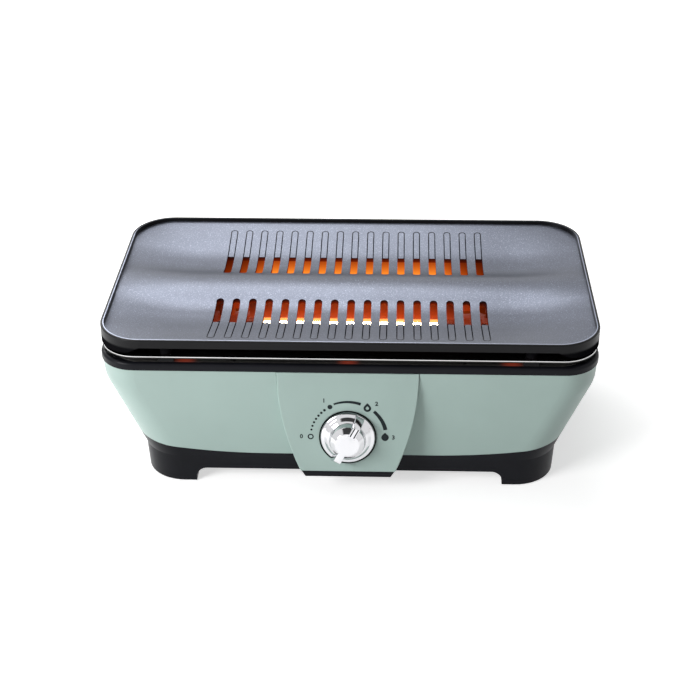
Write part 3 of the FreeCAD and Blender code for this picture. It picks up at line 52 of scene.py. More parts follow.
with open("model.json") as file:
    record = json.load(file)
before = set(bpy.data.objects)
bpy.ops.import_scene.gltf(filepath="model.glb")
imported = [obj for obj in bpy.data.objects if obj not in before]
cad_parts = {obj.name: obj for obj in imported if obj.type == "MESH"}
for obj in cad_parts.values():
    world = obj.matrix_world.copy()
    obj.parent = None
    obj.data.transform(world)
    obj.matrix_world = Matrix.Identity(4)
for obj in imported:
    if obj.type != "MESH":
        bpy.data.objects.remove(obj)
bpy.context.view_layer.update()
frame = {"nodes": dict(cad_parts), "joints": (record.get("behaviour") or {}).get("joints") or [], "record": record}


# Sizes and colours that a user would change

def length(label, about, millimetres, **limits):
    """A length that the user may change, given in millimetres."""
    return bpy.props.FloatProperty(name=label, description=about, default=millimetres * MM,
                                   subtype="DISTANCE", unit="LENGTH", **limits)


def tone(label, about, value):
    """A colour that the user may change."""
    return bpy.props.FloatVectorProperty(name=label, description=about, default=value,
                                         subtype="COLOR", min=0, max=1)


class GrillSizes(bpy.types.PropertyGroup):
    """Sizes of the pieces that the frame doesn't fix."""

    mark_height: length("Mark Height", "How far the dial's print stands off the panel",
                        0.12, min=0.02 * MM)
    dial_radius: length("Dial Radius", "From the knob's axis to the middle of the dial's marks", 39.2)
    dial_dots: bpy.props.IntProperty(
        name="Dial Dots", description="Dots between off and low", default=7, min=2)
    smallest_dot: length("Smallest Dot", "Radius of the first dot after off", 1.15)
    largest_dot: length("Largest Dot", "Radius of the last dot before low", 1.45)
    number_height: length("Number Height", "Height of the dial's numbers", 6.4)
    screw_recess: length("Screw Recess", "Width of the cross in a screw's head", 0.8)
    slot_count: bpy.props.IntProperty(
        name="Slot Count", description="Slots in each row of the plate", default=17, min=1)
    slot_pitch: length("Slot Pitch", "From one slot of the plate to the next", 18.0)
    slot_width: length("Slot Width", "Width of a slot and of its groove", 8.4)
    slot_end: length("Slot End", "From the plate's middle line to where a slot turns into its groove",
                     77.6)
    groove_end: length("Groove End", "From the plate's middle line to the groove's round end", 128.4)
    groove_line: length("Groove Line", "Width of the groove's line", 1.2)
    lit_length: length("Lit Length", "Half the length of the strips that glows", 98.0)


class GrillColours(bpy.types.PropertyGroup):
    """Colours of the finishes."""

    shell_green: tone("Shell Green", "Grey-green of shell and panel", (0.398, 0.523, 0.486))
    moulding_black: tone("Moulding Black", "Blue-black of frame and base", (0.0060, 0.0064, 0.0092))
    plate_grey: tone("Plate Grey", "Non-stick coat of the cast plate", (0.120, 0.130, 0.160))
    plate_black: tone("Plate Black", "Enamel of the plate's rim and skirt", (0.006, 0.006, 0.007))
    ink: tone("Ink", "Print of the dial", (0.007, 0.013, 0.015))
    glow: tone("Glow", "Light that the hot strips give off", (1.0, 0.17, 0.016))
    white_heat: tone("White Heat", "Colour of the strips themselves", (1.0, 0.85, 0.55))
    glow_strength: bpy.props.FloatProperty(
        name="Glow Strength", description="Strength of the hot strips' light", default=5.0, min=0)
    white_strength: bpy.props.FloatProperty(
        name="White Strength", description="Brightness of the strips themselves", default=40.0, min=0)
    # Ember and flame are colours of the tubes' light, painted as glow on the parts near them.
    ember: tone("Ember", "Sheet metal lit by the tubes from the side", (1.0, 0.085, 0.008))
    flame: tone("Flame", "Sheet metal that faces the tubes", (1.0, 0.40, 0.040))


def sizes():
    """The scene's sizes."""
    return bpy.context.scene.grill_sizes


def colours():
    """The scene's colours."""
    return bpy.context.scene.grill_colours


# Node trees

def add(tree, kind, settings=None, inputs=None):
    """A new node with its settings, and its inputs set or linked."""
    node = tree.nodes.new(kind)
    for key, value in (settings or {}).items():
        setattr(node, key, value)
    for key, value in (inputs or {}).items():
        feed(tree, node, key, value)
    return node


def feed(tree, node, key, value):
    """Link a node's first output, a socket or a term to the input, or set the input's value."""
    if isinstance(value, Term):
        value = value.socket
    elif isinstance(value, bpy.types.Node):
        value = value.outputs[0]
    if isinstance(value, bpy.types.NodeSocket):
        tree.links.new(value, node.inputs[key])
    else:
        node.inputs[key].default_value = value


def maths(operation, turned=False):
    """A method that adds the maths node for one sign or function of terms."""
    def method(self, other=0.0):
        first, second = (other, self) if turned else (self, other)
        node = add(self.tree, "ShaderNodeMath", {"operation": operation}, {0: first, 1: second})
        return Term(self.tree, node.outputs[0])
    return method


class Term:
    """A node's socket in a sum: each sign and method adds its maths node to the tree."""

    __add__ = maths("ADD")
    __sub__ = maths("SUBTRACT")
    __rsub__ = maths("SUBTRACT", turned=True)
    __mul__ = maths("MULTIPLY")
    __truediv__ = maths("DIVIDE")
    __mod__ = maths("FLOORED_MODULO")
    __gt__ = maths("GREATER_THAN")
    __lt__ = maths("LESS_THAN")
    __abs__ = maths("ABSOLUTE")
    at_least = maths("MAXIMUM")
    at_most = maths("MINIMUM")
    root = maths("SQRT")
    exponent = maths("EXPONENT")
    sign = maths("SIGN")
    sine = maths("SINE")
    cosine = maths("COSINE")

    def __init__(self, tree, socket):
        self.tree = tree
        self.socket = socket


def group_of(name, kind, inputs, outputs):
    """A new node group, its inputs as terms by name, and its output node.

    An input has a default, whose type tells its kind, or the kind's name in the default's place.
    """
    tree = bpy.data.node_groups.new(name, kind)
    kinds = {float: "Float", int: "Int", tuple: "Color"}
    for label, default in inputs:
        named = isinstance(default, str)
        socket_kind = default if named else kinds[type(default)]
        socket = tree.interface.new_socket(
            name=label, in_out="INPUT", socket_type="NodeSocket" + socket_kind)
        if not named:
            socket.default_value = default
    for label, socket_kind in outputs:
        tree.interface.new_socket(name=label, in_out="OUTPUT", socket_type="NodeSocket" + socket_kind)
    given = tree.nodes.new("NodeGroupInput")
    terms = {socket.name: Term(tree, socket) for socket in given.outputs if socket.name}
    return tree, terms, tree.nodes.new("NodeGroupOutput")


def place_on(tree):
    """The place on the object, in its own coordinates."""
    return add(tree, "ShaderNodeTexCoord").outputs["Object"]


def split(tree, vector):
    """A vector's X, Y and Z as terms."""
    return [Term(tree, part) for part in add(tree, "ShaderNodeSeparateXYZ", None, {0: vector}).outputs]


def facing(tree):
    """X, Y and Z of the way in which a face looks."""
    return split(tree, add(tree, "ShaderNodeNewGeometry").outputs["Normal"])


def ramp(tree, value, low, high, to_low=0.0, to_high=1.0, smooth=False):
    """A value carried over from one span to another and held at its ends."""
    node = add(tree, "ShaderNodeMapRange", {"interpolation_type": "SMOOTHSTEP" if smooth else "LINEAR"},
               {"Value": value, "From Min": low, "From Max": high, "To Min": to_low, "To Max": to_high})
    return Term(tree, node.outputs[0])


def blend(tree, share, first, second):
    """Two colours mixed, all of the second where the share is 1."""
    return add(tree, "ShaderNodeMix", {"data_type": "RGBA"}, {0: share, 6: first, 7: second}).outputs[2]


def noise(tree, scale, detail=2.0, vector=None, **more):
    """Cloudy noise over the object's own coordinates, or over a vector."""
    vector = place_on(tree) if vector is None else vector
    node = add(tree, "ShaderNodeTexNoise", None,
               {"Vector": vector, "Scale": scale, "Detail": detail, **more})
    return Term(tree, node.outputs["Fac"])


# Effects that several finishes share

def mottle_group():
    """Two close colours that drift into each other over the surface."""
    tree, given, result = group_of(
        "Colour Mottle", "ShaderNodeTree",
        [("Light", (0.5, 0.5, 0.5, 1)), ("Dark", (0.4, 0.4, 0.4, 1)), ("Scale", 20.0), ("Detail", 3.0)],
        [("Colour", "Color")])
    share = ramp(tree, noise(tree, given["Scale"], given["Detail"]), 0.35, 0.65)
    feed(tree, result, "Colour", blend(tree, share, given["Dark"], given["Light"]))
    return tree


def grain_group():
    """Fine even grain of a moulding or a cast coat, as a height."""
    tree, given, result = group_of(
        "Fine Grain", "ShaderNodeTree", [("Scale", 1500.0), ("Roughness", 0.6)], [("Height", "Float")])
    feed(tree, result, "Height", noise(tree, given["Scale"], Roughness=given["Roughness"]))
    return tree


def smudge_group():
    """Roughness that wanders between two values, as on a handled surface."""
    tree, given, result = group_of(
        "Smudges", "ShaderNodeTree",
        [("Low", 0.3), ("High", 0.4), ("Scale", 12.0)], [("Roughness", "Float")])
    cloud = noise(tree, given["Scale"], 4.0, Distortion=0.6)
    feed(tree, result, "Roughness", ramp(tree, cloud, 0.3, 0.7, given["Low"], given["High"]))
    return tree


def brush_group():
    """Fine lines drawn along X, as on rolled or brushed sheet: a height and a share."""
    tree, given, result = group_of(
        "Brushed Lines", "ShaderNodeTree", [("Scale", 900.0), ("Stretch", 0.02)],
        [("Height", "Float"), ("Share", "Float")])
    squeeze = add(tree, "ShaderNodeCombineXYZ", None, {0: given["Stretch"], 1: 1.0, 2: 1.0})
    along = add(tree, "ShaderNodeVectorMath", {"operation": "MULTIPLY"}, {0: place_on(tree), 1: squeeze})
    drawn = noise(tree, given["Scale"], 3.0, along.outputs[0])
    feed(tree, result, "Height", drawn)
    feed(tree, result, "Share", ramp(tree, drawn, 0.4, 0.6))
    return tree


def pan_group():
    """1 on upward faces inside a rounded rectangle about the body's middle line, 0 elsewhere."""
    tree, given, result = group_of(
        "Pan Mask", "ShaderNodeTree",
        [("Half Length", 0.2), ("Half Depth", 0.1), ("Corner", 0.04), ("Centre Y", 0.0),
         ("Blend", 0.0004), ("Lowest", 0.1)], [("Share", "Float")])
    x, y, z = split(tree, place_on(tree))
    corner = given["Corner"]
    beyond_x = abs(x) - (given["Half Length"] - corner)
    beyond_y = abs(y - given["Centre Y"]) - (given["Half Depth"] - corner)
    past_x, past_y = beyond_x.at_least(0.0), beyond_y.at_least(0.0)
    reach = (past_x * past_x + past_y * past_y).root()
    inside = (corner - (reach + beyond_x.at_least(beyond_y).at_most(0.0))) / given["Blend"]
    upward = ramp(tree, facing(tree)[2], 0.5, 0.7)
    share = inside.at_most(upward) * (z > given["Lowest"])
    feed(tree, result, "Share", add(tree, "ShaderNodeClamp", None, {"Value": share}))
    return tree


def groove_group():
    """1 on the plate's line grooves: the outlines of stadium shapes in two rows, 0 elsewhere."""
    tree, given, result = group_of(
        "Groove Lines", "ShaderNodeTree",
        [("Count", 17), ("Pitch", 0.018), ("Width", 0.008), ("Start", 0.078), ("End", 0.128),
         ("Line", 0.001), ("Centre Y", 0.0), ("Lowest", 0.1)], [("Share", "Float")])
    x, y, z = split(tree, place_on(tree))
    pitch = given["Pitch"]
    half, half_pitch, half_line = given["Width"] * 0.5, pitch * 0.5, given["Line"] * 0.5
    sideways = abs((x + half_pitch) % pitch - half_pitch)
    along = abs(y - given["Centre Y"])
    beyond = (along - (given["End"] - half)).at_least(0.0)
    reach = (sideways * sideways + beyond * beyond).root()
    line = (half_line - abs(reach - (half - half_line))) / (0.1 * MM)
    in_row = abs(x) < given["Count"] * 0.5 * pitch
    share = line * (along > given["Start"]) * (in_row * (z > given["Lowest"]))
    feed(tree, result, "Share", add(tree, "ShaderNodeClamp", None, {"Value": share}))
    return tree


def glow_group():
    """The tubes' light on a surface: a share that fades with distance, and a colour, redder as it fades."""
    tree, given, result = group_of(
        "Tube Glow", "ShaderNodeTree",
        [("Near", (1.0, 0.3, 0.03, 1.0)), ("Far", (1.0, 0.08, 0.01, 1.0)), ("Lit Length", 0.1),
         ("Fade", 0.05), ("Centre Y", 0.0), ("Centre Z", 0.13), ("Reach Y", 0.1), ("Reach Z", 0.02),
         ("Middle", PLATE_MIDDLE), ("Least Facing", -2.0)],
        [("Share", "Float"), ("Colour", "Color")])
    x, y, z = split(tree, place_on(tree))
    faded = (abs(x) - given["Lit Length"]).at_least(0.0) / given["Fade"]
    across = (y - given["Centre Y"]) / given["Reach Y"]
    above = (z - given["Centre Z"]) / given["Reach Z"]
    near = ((faded + (across * across + above * above)) * -1.0).exponent()
    _, sideways, up = facing(tree)
    inward = sideways * (given["Middle"] - y).sign()
    share = near * (inward + up.at_least(0.0) > given["Least Facing"])
    feed(tree, result, "Share", share)
    feed(tree, result, "Colour", blend(tree, share, given["Far"], given["Near"]))
    return tree


effects = {}


def effect(tree, name, **inputs):
    """One of the shared effects, placed in a material with its own values."""
    makers = {"mottle": mottle_group, "grain": grain_group, "smudge": smudge_group, "brush": brush_group,
              "pan": pan_group, "groove": groove_group, "glow": glow_group}
    if name not in effects:
        effects[name] = makers[name]()
    node = add(tree, "ShaderNodeGroup", {"node_tree": effects[name]})
    for key, value in inputs.items():
        feed(tree, node, key.replace("_", " "), value)
    return node


def mask(tree, name, **inputs):
    """The share that an effect gives, as a term."""
    return Term(tree, effect(tree, name, **inputs).outputs[0])


# Finishes

def rgba(colour, factor=1.0):
    """A colour with full alpha, made lighter or darker by a factor."""
    return tuple(min(1.0, c * factor) for c in colour[:3]) + (1.0,)


def new_finish(name, **sockets):
    """A new material, with the constants of its shader set."""
    material = bpy.data.materials.new(name)
    material.use_nodes = True
    shader = material.node_tree.nodes["Principled BSDF"]
    for key, value in sockets.items():
        shader.inputs[key.replace("_", " ")].default_value = value
    return material, material.node_tree, shader


def raise_surface(tree, shader, height, distance, strength=1.0):
    """Bump the shader's normal by a height."""
    bump = add(tree, "ShaderNodeBump", None, {"Height": height, "Distance": distance, "Strength": strength})
    feed(tree, shader, "Normal", bump)


def grain(tree, shader, scale, depth, strength=1.0):
    """Raise a fine grain whose depth is given in millimetres."""
    raise_surface(tree, shader, effect(tree, "grain", Scale=scale), depth * MM, strength)


def drift(tree, shader, light, dark, scale):
    """Base colour that drifts between two close ones."""
    feed(tree, shader, "Base Color", effect(tree, "mottle", Light=light, Dark=dark, Scale=scale))


def wander(tree, shader, low, high, scale=12.0):
    """Roughness that wanders between two values."""
    feed(tree, shader, "Roughness", effect(tree, "smudge", Low=low, High=high, Scale=scale))


def moulded(name, colour, low, high, grain_scale=1400.0, grain_depth=0.02, spread=0.06, gloss=0.5):
    """Satin moulded plastic: even colour, faint drift, fine spark-eroded grain."""
    material, tree, shader = new_finish(name, Specular_IOR_Level=gloss)
    drift(tree, shader, rgba(colour, 1 + spread), rgba(colour, 1 - spread), 14.0)
    wander(tree, shader, low, high)
    grain(tree, shader, grain_scale, grain_depth, 0.6)
    return material


def green_plastic():
    """Grey-green body moulding."""
    return moulded("Green Moulding", colours().shell_green, 0.34, 0.42, 1100.0, 0.015, 0.02)


def black_plastic():
    """Blue-black moulding of frame and base."""
    return moulded("Black Moulding", colours().moulding_black, 0.30, 0.40, 1400.0, 0.02, 0.12, 0.12)


def dark_moulding():
    """Dull phenolic of switch and knob core."""
    return moulded("Phenolic", (0.030, 0.026, 0.024), 0.5, 0.62)


def black_rubber():
    """Silicone rubber of feet and pads."""
    return moulded("Silicone Rubber", (0.022, 0.022, 0.024), 0.62, 0.78, 900.0, 0.04, 0.15)


def dial_black():
    """Gloss black ring round the knob."""
    return moulded("Ring Black", rgba(colours().ink, 0.3), 0.24, 0.32, 1800.0, 0.006, 0.1, 0.10)


def inlet_plastic():
    """Black moulding of the inlet."""
    return moulded("Inlet Black", (0.018, 0.018, 0.020), 0.35, 0.45)


def ceramic():
    """White unglazed steatite."""
    material = moulded("Steatite", (0.40, 0.37, 0.32), 0.55, 0.7, 1600.0, 0.03, 0.05)
    tree = material.node_tree
    shine(tree, tree.nodes["Principled BSDF"], colours().ember, 0.35, 60.0, (17.0, 133.0), (60.0, 30.0))
    return material


def lead_sleeve():
    """Woven glass sleeve of the leads."""
    material, tree, shader = new_finish("Glass Sleeve", Sheen_Weight=0.3)
    weave = add(tree, "ShaderNodeTexWave", {"wave_type": "BANDS", "bands_direction": "DIAGONAL"},
                {"Vector": place_on(tree), "Scale": 260.0, "Distortion": 1.5})
    drift(tree, shader, (0.78, 0.76, 0.70, 1), (0.62, 0.60, 0.55, 1), 400.0)
    wander(tree, shader, 0.7, 0.85)
    raise_surface(tree, shader, weave.outputs["Fac"], 0.08 * MM)
    return material


def shine(tree, shader, near, strength, fade, centre, reach, least=-2.0):
    """Let a surface give off the tubes' light that falls on it, about a centre and with a reach in Y and Z.

    With least above -1, only faces that look up or towards the tubes do.
    """
    glow = effect(tree, "glow", Near=rgba(near), Far=rgba(colours().ember), Fade=fade * MM,
                  Lit_Length=sizes().lit_length, Least_Facing=least, Centre_Y=centre[0] * MM,
                  Centre_Z=centre[1] * MM, Reach_Y=reach[0] * MM, Reach_Z=reach[1] * MM)
    feed(tree, shader, "Emission Color", glow.outputs["Colour"])
    power = Term(tree, glow.outputs["Share"]) * strength
    feed(tree, shader, "Emission Strength", power)
    return power


def sheet_metal(name, colour, low, high, stretch=0.02, glow=None, painted_shade=None):
    """Rolled sheet: fine lines along its length and, near the tubes, their light.

    painted_shade is (height above which the colour is full, the share of its colour that is left below); below
    that height the sheet is darkened as painted shade.
    """
    material, tree, shader = new_finish(name, Metallic=1.0)
    if glow:
        shine(tree, shader, *glow)
    source = effect(tree, "mottle", Light=rgba(colour, 1.06), Dark=rgba(colour, 0.92), Scale=25.0)
    # Below the given height the colour falls to a share of itself: painted shade.
    if painted_shade:
        unshaded_height, left = painted_shade
        height = split(tree, place_on(tree))[2]
        share = ramp(tree, height, unshaded_height * MM, (unshaded_height - 0.2) * MM)
        source = blend(tree, share, source, rgba(colour, left))
    feed(tree, shader, "Base Color", source)
    lines = effect(tree, "brush", Stretch=stretch)
    feed(tree, shader, "Roughness", ramp(tree, lines.outputs["Share"], 0.0, 1.0, low, high))
    raise_surface(tree, shader, lines.outputs["Height"], 0.01 * MM, 0.5)
    return material


def tray_steel():
    """Stainless sheet of the drip tray: full colour on its flange, painted shade below it, and the tubes' light
    painted as glow on faces that look towards the tubes.
    """
    return sheet_metal("Tray Steel", (0.60, 0.60, 0.60), 0.12, 0.20,
                       glow=(colours().flame, 1.90, 32.0, (112.0, 108.0), (46.0, 26.0), 0.1),
                       painted_shade=(159.1, 0.05))


def leak_share(tree):
    """1 on the liner's flange outside each vent of the tray, where the tubes' light leaks out."""
    x, _, z = split(tree, place_on(tree))
    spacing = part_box("drip_tray")[1][0] - 90.0 * MM
    sideways = abs((x + 1.5 * spacing) % spacing - 0.5 * spacing)
    return ramp(tree, sideways, 14.0 * MM, 2.0 * MM, smooth=True) * (z > 149.0 * MM)


def liner_steel():
    """Aluminised sheet of liner, stand and brackets."""
    material = sheet_metal("Aluminised Steel", (0.15, 0.145, 0.14), 0.58, 0.68,
                           glow=(colours().ember, 0.46, 55.0, (17.0, 118.0), (48.0, 24.0)))
    tree = material.node_tree
    shader = tree.nodes["Principled BSDF"]
    shone = Term(tree, shader.inputs["Emission Strength"].links[0].from_socket)
    feed(tree, shader, "Emission Strength", shone.at_least(leak_share(tree) * 0.13))
    return material


def reflector_metal():
    """Sheet of the reflectors, tinted by heat."""
    return sheet_metal("Reflector", (0.30, 0.20, 0.13), 0.50, 0.56,
                       glow=(colours().ember, 0.42, 30.0, (17.0, 124.0), (60.0, 14.0)))


def screw_steel():
    """Zinc-plated screws and small parts."""
    return sheet_metal("Zinc Plate", (0.60, 0.60, 0.62), 0.25, 0.38, 0.6)


def dark_screw_steel():
    """Black-passivated screws on the liner's flange."""
    return sheet_metal("Black Passivated", (0.05, 0.05, 0.05), 0.40, 0.55, 0.6)


def fuse_metal():
    """Nickelled brass of pins and fuse."""
    return sheet_metal("Nickelled Brass", (0.66, 0.58, 0.42), 0.18, 0.28, 0.5)


def dark_sheet():
    """Painted floor plate."""
    material, tree, shader = new_finish("Painted Sheet")
    drift(tree, shader, (0.042, 0.043, 0.046, 1), (0.028, 0.029, 0.031, 1), 18.0)
    wander(tree, shader, 0.42, 0.55)
    grain(tree, shader, 700.0, 0.05)
    return material


def quartz():
    """Clear quartz glass, thin enough to let the strips' light out."""
    material, tree, shader = new_finish("Quartz", Roughness=0.04, IOR=1.46, Alpha=0.22)
    drift(tree, shader, (0.97, 0.95, 0.92, 1), (0.90, 0.86, 0.80, 1), 60.0)
    # The glass gives off the tubes' light, seen by the camera only: painted glow.
    power = shine(tree, shader, (1.0, 0.45, 0.13), 2.1, 1.5, (17.0, 133.6), (200.0, 20.0))
    path = add(tree, "ShaderNodeLightPath")
    feed(tree, shader, "Emission Strength", power * path.outputs["Is Camera Ray"])
    return material


def filament():
    """Hot graphite strip that goes dark at its ends, white to the camera and orange on what it lights."""
    material, tree, shader = new_finish("Hot Strip", Roughness=0.7)
    lit = sizes().lit_length
    out = abs(split(tree, place_on(tree))[0])
    share = ramp(tree, out, lit - 4 * MM, lit + 3 * MM, 1.0, 0.0, smooth=True)
    level = share * (noise(tree, 220.0) * 0.2 + 1.1)
    seen = add(tree, "ShaderNodeLightPath").outputs["Is Camera Ray"]
    heat = blend(tree, seen, rgba(colours().glow), rgba(colours().white_heat))
    feed(tree, shader, "Emission Color", blend(tree, level, (0.0, 0.0, 0.0, 1), heat))
    power = add(tree, "ShaderNodeMix", {"data_type": "FLOAT"},
                {0: seen, 2: colours().glow_strength, 3: colours().white_strength})
    feed(tree, shader, "Emission Strength", power)
    drift(tree, shader, (0.05, 0.045, 0.042, 1), (0.03, 0.028, 0.026, 1), 300.0)
    return material


def chrome():
    """Bright plating of the knob."""
    material, tree, shader = new_finish("Knob Chrome", Metallic=1.0)
    drift(tree, shader, (0.69, 0.69, 0.71, 1), (0.66, 0.66, 0.68, 1), 40.0)
    wander(tree, shader, 0.05, 0.09, 60.0)
    grain(tree, shader, 500.0, 0.004, 0.3)
    return material


def plate_coat():
    """Flecked grey non-stick coat inside the rim, black enamel on rim, skirt and underside, with painted shade in
    the grooves and low on the plate, a painted highlight strip on the rim, and the tubes' light painted as glow on
    the enamel.
    """
    material, tree, shader = new_finish("Plate Coat")
    height = split(tree, place_on(tree))[2]
    # Below the skirt's lower edge the finish loses its specular reflection: painted shade low on the plate.
    feed(tree, shader, "Specular IOR Level", ramp(tree, height, 0.1700, 0.1725, 0.0, 0.16))
    s = sizes()
    grey, black = colours().plate_grey, colours().plate_black
    pan = mask(tree, "pan", Half_Length=0.2593, Half_Depth=0.1458, Corner=0.0435,
               Centre_Y=PLATE_MIDDLE, Lowest=0.15)
    # edge and line mark a light strip on the rim's top just outside the coat, at the front and the sides: a
    # painted highlight.
    edge = mask(tree, "pan", Half_Length=0.2601, Half_Depth=0.1458, Corner=0.0443,
                Centre_Y=PLATE_MIDDLE - 1.0 * MM, Lowest=0.1775)
    grooves = mask(tree, "groove", Count=s.slot_count, Pitch=s.slot_pitch, Width=s.slot_width,
                   Start=s.slot_end, End=s.groove_end, Line=s.groove_line,
                   Centre_Y=PLATE_MIDDLE, Lowest=0.15)
    outside = 1.0 - pan
    line = edge * outside
    # The grooves take the dark enamel instead of the coat: painted shade in the grooves.
    coated = pan * (1.0 - grooves)
    tint = effect(tree, "mottle", Light=rgba(grey, 1.05), Dark=rgba(grey, 0.95), Scale=9.0)
    coat = blend(tree, ramp(tree, noise(tree, 900.0), 0.56, 0.68), tint, rgba(grey, 1.8))
    enamel = effect(tree, "mottle", Light=rgba(black, 1.1), Dark=rgba(black, 0.9), Scale=20.0)
    both = blend(tree, coated, enamel, coat)
    feed(tree, shader, "Base Color", blend(tree, line, both, rgba(grey, 3.2)))
    feed(tree, shader, "Metallic", (coated * 0.92).at_least(line))
    # Outside the coat the enamel gives off the tubes' light low on the plate: painted glow.
    power = shine(tree, shader, colours().ember, 1.00, 40.0, (17.0, 157.0), (62.0, 5.0))
    feed(tree, shader, "Emission Strength", power * outside)
    wander(tree, shader, 0.33, 0.39, 8.0)
    grain(tree, shader, 650.0, 0.10, 0.7)
    return material


def ink_finish():
    """Printed ink of the dial."""
    return moulded("Dial Ink", colours().ink, 0.45, 0.55, 2000.0, 0.004, 0.08, 0.2)


def finishes():
    """The maker of each of the record's material slots."""
    return {"plate_coat": plate_coat, "tray_steel": tray_steel, "black_rubber": black_rubber,
            "black_plastic": black_plastic, "green_plastic": green_plastic, "dark_sheet": dark_sheet,
            "screw_steel": screw_steel, "liner_steel": liner_steel, "reflector_metal": reflector_metal,
            "quartz": quartz, "filament": filament, "ceramic": ceramic, "lead_sleeve": lead_sleeve,
            "cutout_plastic": dark_moulding, "fuse_metal": fuse_metal, "dial_black": dial_black,
            "knob_chrome": chrome, "inlet_plastic": inlet_plastic}


made_finishes = {}


def finish_of(slot):
    """The material of a slot, made once."""
    if slot not in made_finishes:
        made_finishes[slot] = finishes()[slot]()
    return made_finishes[slot]


# Meshes

def linked(name, data):
    """A new object of the scene that shows this data."""
    made = bpy.data.objects.new(name, data)
    bpy.context.scene.collection.objects.link(made)
    return made


def new_piece(name, mesh, body, slot, material=None):
    """An object at the origin with its finish, riding on a body."""
    piece = linked(name, mesh)
    mesh.materials.clear()
    mesh.materials.append(material or finish_of(slot))
    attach(piece, body)
    return piece


def mesh_from(name, build):
    """A mesh that a function fills in, with its doubles merged and faces turned outwards."""
    mesh = bpy.data.meshes.new(name)
    work = bmesh.new()
    build(work)
    bmesh.ops.remove_doubles(work, verts=work.verts, dist=0.002 * MM)
    bmesh.ops.recalc_face_normals(work, faces=work.faces)
    work.to_mesh(mesh)
    work.free()
    return mesh


def islands(node):
    """Lowest and highest corner of each loose part of a CAD node, in order of X then Y."""
    work = bmesh.new()
    work.from_mesh(frame["nodes"][node].data)
    bmesh.ops.remove_doubles(work, verts=work.verts, dist=0.005 * MM)
    seen = set()
    found = []
    for start in work.verts:
        if start in seen:
            continue
        seen.add(start)
        queue = [start]
        points = []
        while queue:
            vertex = queue.pop()
            points.append(vertex.co.copy())
            for edge in vertex.link_edges:
                other = edge.other_vert(vertex)
                if other not in seen:
                    seen.add(other)
                    queue.append(other)
        low = Vector(min(p[i] for p in points) for i in range(3))
        high = Vector(max(p[i] for p in points) for i in range(3))
        found.append((low, high))
    work.free()
    return sorted(found, key=lambda box: (round(box[0].x, 4), round(box[0].y, 4)))


def bake(carrier, name):
    """The evaluated mesh of an object with modifiers, as a plain mesh."""
    depsgraph = bpy.context.evaluated_depsgraph_get()
    mesh = bpy.data.meshes.new_from_object(carrier.evaluated_get(depsgraph))
    mesh.name = name
    bpy.data.objects.remove(carrier)
    return mesh


def run_tree(tree, values, points=()):
    """A carrier object whose geometry comes from a node tree with these inputs."""
    mesh = bpy.data.meshes.new("carrier")
    mesh.from_pydata([tuple(p) for p in points], [], [])
    carrier = linked("carrier", mesh)
    modifier = carrier.modifiers.new("tree", "NODES")
    modifier.node_group = tree
    for item in tree.interface.items_tree:
        if item.item_type == "SOCKET" and item.in_out == "INPUT" and item.name in values:
            modifier[item.identifier] = values[item.name]
    carrier.update_tag()
    return carrier


def upright(tree, x, y, z):
    """A vector from three values of a node tree."""
    return add(tree, "ShaderNodeCombineXYZ", None, {0: x, 1: y, 2: z})


def stamp(tree, result, points, solid, material, **more):
    """Put a copy of a solid with its material on every point, and give them out as one mesh."""
    copies = add(tree, "GeometryNodeInstanceOnPoints", None, {"Points": points, "Instance": solid, **more})
    real = add(tree, "GeometryNodeRealizeInstances", None, {0: copies})
    feed(tree, result, "Geometry",
         add(tree, "GeometryNodeSetMaterial", None, {"Geometry": real, "Material": material}))


# Panel frame: x to the right, y up the panel, z out of it, origin on the knob's axis

def panel_matrix():
    """Place and turn of the panel's face at the knob's axis."""
    joint = next(j for j in frame["joints"] if j["name"] == "knob_turn")
    out = Vector(joint["axis"]).normalized()
    right = Vector((1, 0, 0))
    up = out.cross(right)
    turn = Matrix((right, up, out)).transposed().to_4x4()
    return Matrix.Translation(Vector(joint["pos_m"])) @ turn


# Dial

def slab(work, outline, height, hole=None):
    """A thin plate between two heights from an outline, with an optional hole of as many points."""
    levels = []
    for z in (0.0, height):
        outer = [work.verts.new((x, y, z)) for x, y in outline]
        inner = [work.verts.new((x, y, z)) for x, y in hole] if hole else None
        levels.append((outer, inner))
    (low_outer, low_inner), (high_outer, high_inner) = levels
    count = len(outline)
    for i in range(count):
        j = (i + 1) % count
        work.faces.new((low_outer[i], low_outer[j], high_outer[j], high_outer[i]))
        if hole:
            work.faces.new((low_inner[j], low_inner[i], high_inner[i], high_inner[j]))
            work.faces.new((high_outer[i], high_outer[j], high_inner[j], high_inner[i]))
            work.faces.new((low_outer[j], low_outer[i], low_inner[i], low_inner[j]))
    if not hole:
        work.faces.new(high_outer)
        work.faces.new(list(reversed(low_outer)))


def polar(radius, degrees):
    """A point at a radius and an angle."""
    return radius * math.cos(math.radians(degrees)), radius * math.sin(math.radians(degrees))


def round_outline(centre, radius, steps=48):
    """Points of a circle."""
    return [(centre[0] + radius * math.cos(math.tau * i / steps),
             centre[1] + radius * math.sin(math.tau * i / steps)) for i in range(steps)]


def drop_outline(centre, radius, rise, steps=48):
    """Points of an upright drop: a round belly that draws out to a tip above it."""
    points = []
    for i in range(steps):
        angle = math.tau * i / steps
        sharp = max(0.0, math.sin(angle)) ** 6
        points.append((centre[0] + radius * math.cos(angle) * (1 - 0.35 * sharp),
                       centre[1] + radius * math.sin(angle) + (rise - radius) * sharp))
    return points


def band_outline(radius, start, end, width_start, width_end, steps=40):
    """Points of an arc-shaped bar whose width grows from its start to its end."""
    outer = []
    inner = []
    for i in range(steps + 1):
        share = i / steps
        angle = start + share * (end - start)
        half = (width_start + share * (width_end - width_start)) / 2
        outer.append(polar(radius + half, angle))
        inner.append(polar(radius - half, angle))
    return outer + list(reversed(inner))


